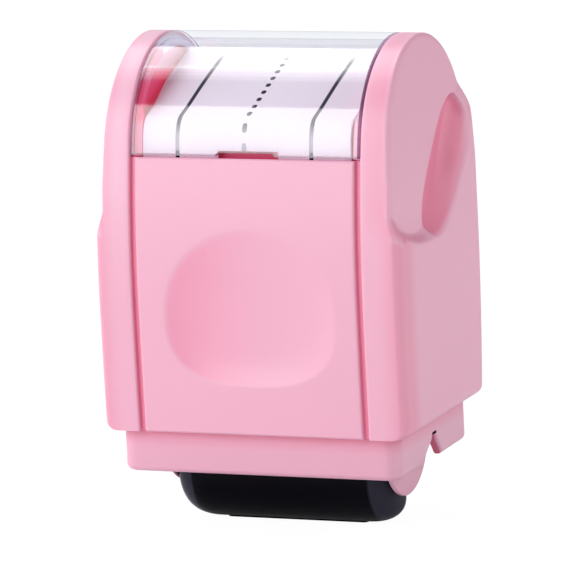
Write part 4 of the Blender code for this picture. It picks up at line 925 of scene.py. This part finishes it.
class STAMP_OT_casing(bpy.types.Operator):
    """Build both side shells and both panels"""

    bl_idname = "stamp.casing"
    bl_label = "Casing"

    def execute(self, context):
        s = context.scene.stamp_sizes
        colours = context.scene.stamp_colours
        pink = pink_shell("pink plastic", colours)
        for name, side in (("left_side_shell", -1), ("right_side_shell", 1)):
            side_shell(name, side, s, pink)
        panel("front_panel", front_y, FRONT_SEAM_Z, s, pink)
        panel("rear_panel", rear_y, PIVOT_Z - BEAD_RADIUS - SEAM_GAP, s, pink)
        return {"FINISHED"}


class STAMP_OT_lid(bpy.types.Operator):
    """Build the clear lid, the printed card and the deck's finish"""

    bl_idname = "stamp.lid"
    bl_label = "Lid and card"

    def execute(self, context):
        s = context.scene.stamp_sizes
        colours = context.scene.stamp_colours
        lid(s, clear_plastic())
        card(s, printed_card(colours, s))
        # The deck's deep pink gets a little painted light, an even glow
        dress(("card_deck",), moulded("deep pink plastic", colours.deep, 0.4, glow=0.12))
        return {"FINISHED"}


class STAMP_OT_frame(bpy.types.Operator):
    """Build the inner frame with its skirt and ears"""

    bl_idname = "stamp.frame"
    bl_label = "Inner frame"

    def execute(self, context):
        scene = context.scene
        inner_frame(scene.stamp_sizes, pink_shell("pink frame plastic", scene.stamp_colours, 0.93))
        return {"FINISHED"}


class STAMP_OT_shutter(bpy.types.Operator):
    """Build the shutter and finish the shield and the ink holder"""

    bl_idname = "stamp.shutter"
    bl_label = "Shutter"

    def execute(self, context):
        black = gloss_black("black plastic", context.scene.stamp_colours.black)
        shutter(context.scene.stamp_sizes, black)
        guard(black)
        dress(("ink_cartridge",), black)
        return {"FINISHED"}


class STAMP_OT_rollers(bpy.types.Operator):
    """Build the stamping and ink rollers"""

    bl_idname = "stamp.rollers"
    bl_label = "Rollers"

    def execute(self, context):
        rollers(context.scene.stamp_sizes, context.scene.stamp_colours)
        return {"FINISHED"}


class STAMP_OT_hardware(bpy.types.Operator):
    """Build the springs and finish racks, pinions, axles, pins and screws"""

    bl_idname = "stamp.hardware"
    bl_label = "Hardware"

    def execute(self, context):
        colours = context.scene.stamp_colours
        gears = [name for name in NODES if name.endswith(("_rack", "_pinion"))]
        dress(gears, moulded("white gear plastic", colours.white, 0.42))
        steel = metal("plated steel", colours.steel)
        dress([name for name in NODES if name.endswith(("_axle", "_pin", "_screw"))], steel)
        return_springs(steel)
        return {"FINISHED"}


def dress(names, material):
    """Give model nodes their finish."""
    for name in names:
        mesh = NODES[name].data
        mesh.materials.clear()
        mesh.materials.append(material)


def link(item):
    bpy.context.scene.collection.objects.link(item)
    return item


def softbox(name, direction, width, height, radiance, tint=(1.0, 1.0, 1.0), level=False):
    """An even rectangular lamp that faces the stamp from a metre away; where it is level, its width runs along X, so
    that its edges reflect as level bands in the lid."""
    data = bpy.data.lights.new(name, "AREA")
    data.shape = "RECTANGLE"
    data.size, data.size_y = width, height
    data.energy = radiance * math.pi * width * height
    data.color = tint
    lamp = link(bpy.data.objects.new(name, data))
    aim = Vector(direction).normalized()
    lamp.location = Vector((0, 0, 0.045)) + aim
    across = (Vector((1, 0, 0)) - aim * aim.x).normalized()
    turn = Matrix((across, aim.cross(across), aim)).transposed() if level else aim.to_track_quat("Z", "Y")
    lamp.rotation_euler = turn.to_euler()


def camera(focal):
    """The photograph's viewpoint: from the right and a little above, a long lens, a slight roll."""
    yaw, pitch, roll = (math.radians(a) for a in VIEW_ANGLES)
    ahead = Vector((-math.sin(yaw) * math.cos(pitch), math.cos(yaw) * math.cos(pitch), -math.sin(pitch)))
    right = Vector((math.cos(yaw), math.sin(yaw), 0))
    up = right.cross(ahead)
    across = math.cos(roll) * right + math.sin(roll) * up
    above = math.cos(roll) * up - math.sin(roll) * right
    data = bpy.data.cameras.new("photo camera")
    data.lens, data.sensor_width = focal, 36.0
    data.clip_start, data.clip_end = 0.05, 50.0
    item = link(bpy.data.objects.new("photo camera", data))
    item.matrix_world = Matrix.Translation(VIEW_PLACE) @ Matrix((across, above, -ahead)).transposed().to_4x4()
    bpy.context.scene.camera = item


def studio_white(name, shade):
    """Pale studio surface: matt to the lamps and to reflections, and mostly plain white where the camera meets it."""
    f = Finish(name)
    matt = f.node("BsdfDiffuse", None, {"Color": rgba(shade)})
    glow = f.node("Emission", None, {"Color": (1.0, 1.0, 1.0, 1.0), "Strength": 1.07})
    seen = f.node("LightPath", output="Is Camera Ray")
    return f.surface(f.node("MixShader", None, {0: seen * 0.9, 1: matt, 2: glow}))


class STAMP_OT_studio(bpy.types.Operator):
    """Set up the floor, the surroundings, the lamps and the camera"""

    bl_idname = "stamp.studio"
    bl_label = "Studio"

    def execute(self, context):
        scene = context.scene
        studio = scene.stamp_studio
        reach = np.linspace(-3.0, 3.0, 31)
        skin = Skin()
        skin.grid(reach, reach[:, None], np.zeros((31, 31)), closed_columns=False)
        floor = skin.piece("studio_floor", studio_white("studio white", (0.82, 0.82, 0.83)))
        scene.world = bpy.data.worlds.new("studio")
        f = Finish("studio", scene.world)
        fill = f.node("Background", None, {"Color": rgba((0.97, 0.98, 1.0)), "Strength": studio.fill})
        white = f.node("Background", None, {"Color": rgba((1.0, 1.0, 1.0)), "Strength": 1.0})
        seen = f.node("LightPath", output="Is Camera Ray")
        f.surface(f.node("MixShader", None, {0: seen, 1: fill, 2: white}), "OutputWorld")
        softbox("front softbox", (-0.37, -0.85, 0.37), 0.50, 0.80, studio.key, level=True)
        softbox("top softbox", (-0.37, 0.275, 0.888), 0.50, 0.53, studio.top, level=True)
        for step, share in enumerate((0.75, 0.5, 0.25)):
            turn = math.radians(89.9 - 5.27 * step)
            softbox(f"top softbox, fading edge {step + 1}", (-0.37, -0.93 * math.cos(turn), 0.93 * math.sin(turn)),
                    0.50, 0.092, studio.top * share, level=True)
        softbox("rear softbox", (-0.37, 0.80, 0.38), 0.9, 0.80, studio.rear, (0.88, 0.93, 1.0))
        softbox("left softbox", (-0.86, -0.42, 0.28), 0.6, 0.7, studio.left)
        softbox("side fill", (1.0, 0.05, 0.35), 0.9, 0.9, studio.side)
        camera(studio.focal)
        scene.view_settings.view_transform = "Standard"
        return {"FINISHED"}


class STAMP_PT_panel(bpy.types.Panel):
    """Lists the steps that build the stamp"""

    bl_idname = "STAMP_PT_panel"
    bl_label = "Roller stamp"
    bl_space_type = "VIEW_3D"
    bl_region_type = "UI"
    bl_category = "Stamp"

    def draw(self, context):
        for step in STEPS:
            self.layout.operator(step.bl_idname)
        for group in (context.scene.stamp_sizes, context.scene.stamp_colours, context.scene.stamp_studio):
            box = self.layout.box()
            for key in group.__annotations__:
                box.prop(group, key)


STEPS = (STAMP_OT_casing, STAMP_OT_lid, STAMP_OT_frame, STAMP_OT_shutter, STAMP_OT_rollers, STAMP_OT_hardware,
         STAMP_OT_studio)
GROUPS = {"stamp_sizes": StampSizes, "stamp_colours": StampColours, "stamp_studio": StudioSettings}


def register():
    for cls in (*GROUPS.values(), *STEPS, STAMP_PT_panel):
        bpy.utils.register_class(cls)
    for name, group in GROUPS.items():
        setattr(bpy.types.Scene, name, bpy.props.PointerProperty(type=group))


def unregister():
    for name in GROUPS:
        delattr(bpy.types.Scene, name)
    for cls in reversed((*GROUPS.values(), *STEPS, STAMP_PT_panel)):
        bpy.utils.unregister_class(cls)


def main():
    register()
    for step in STEPS:
        area, name = step.bl_idname.split(".")
        getattr(getattr(bpy.ops, area), name)()


if __name__ == "__main__":
    main()
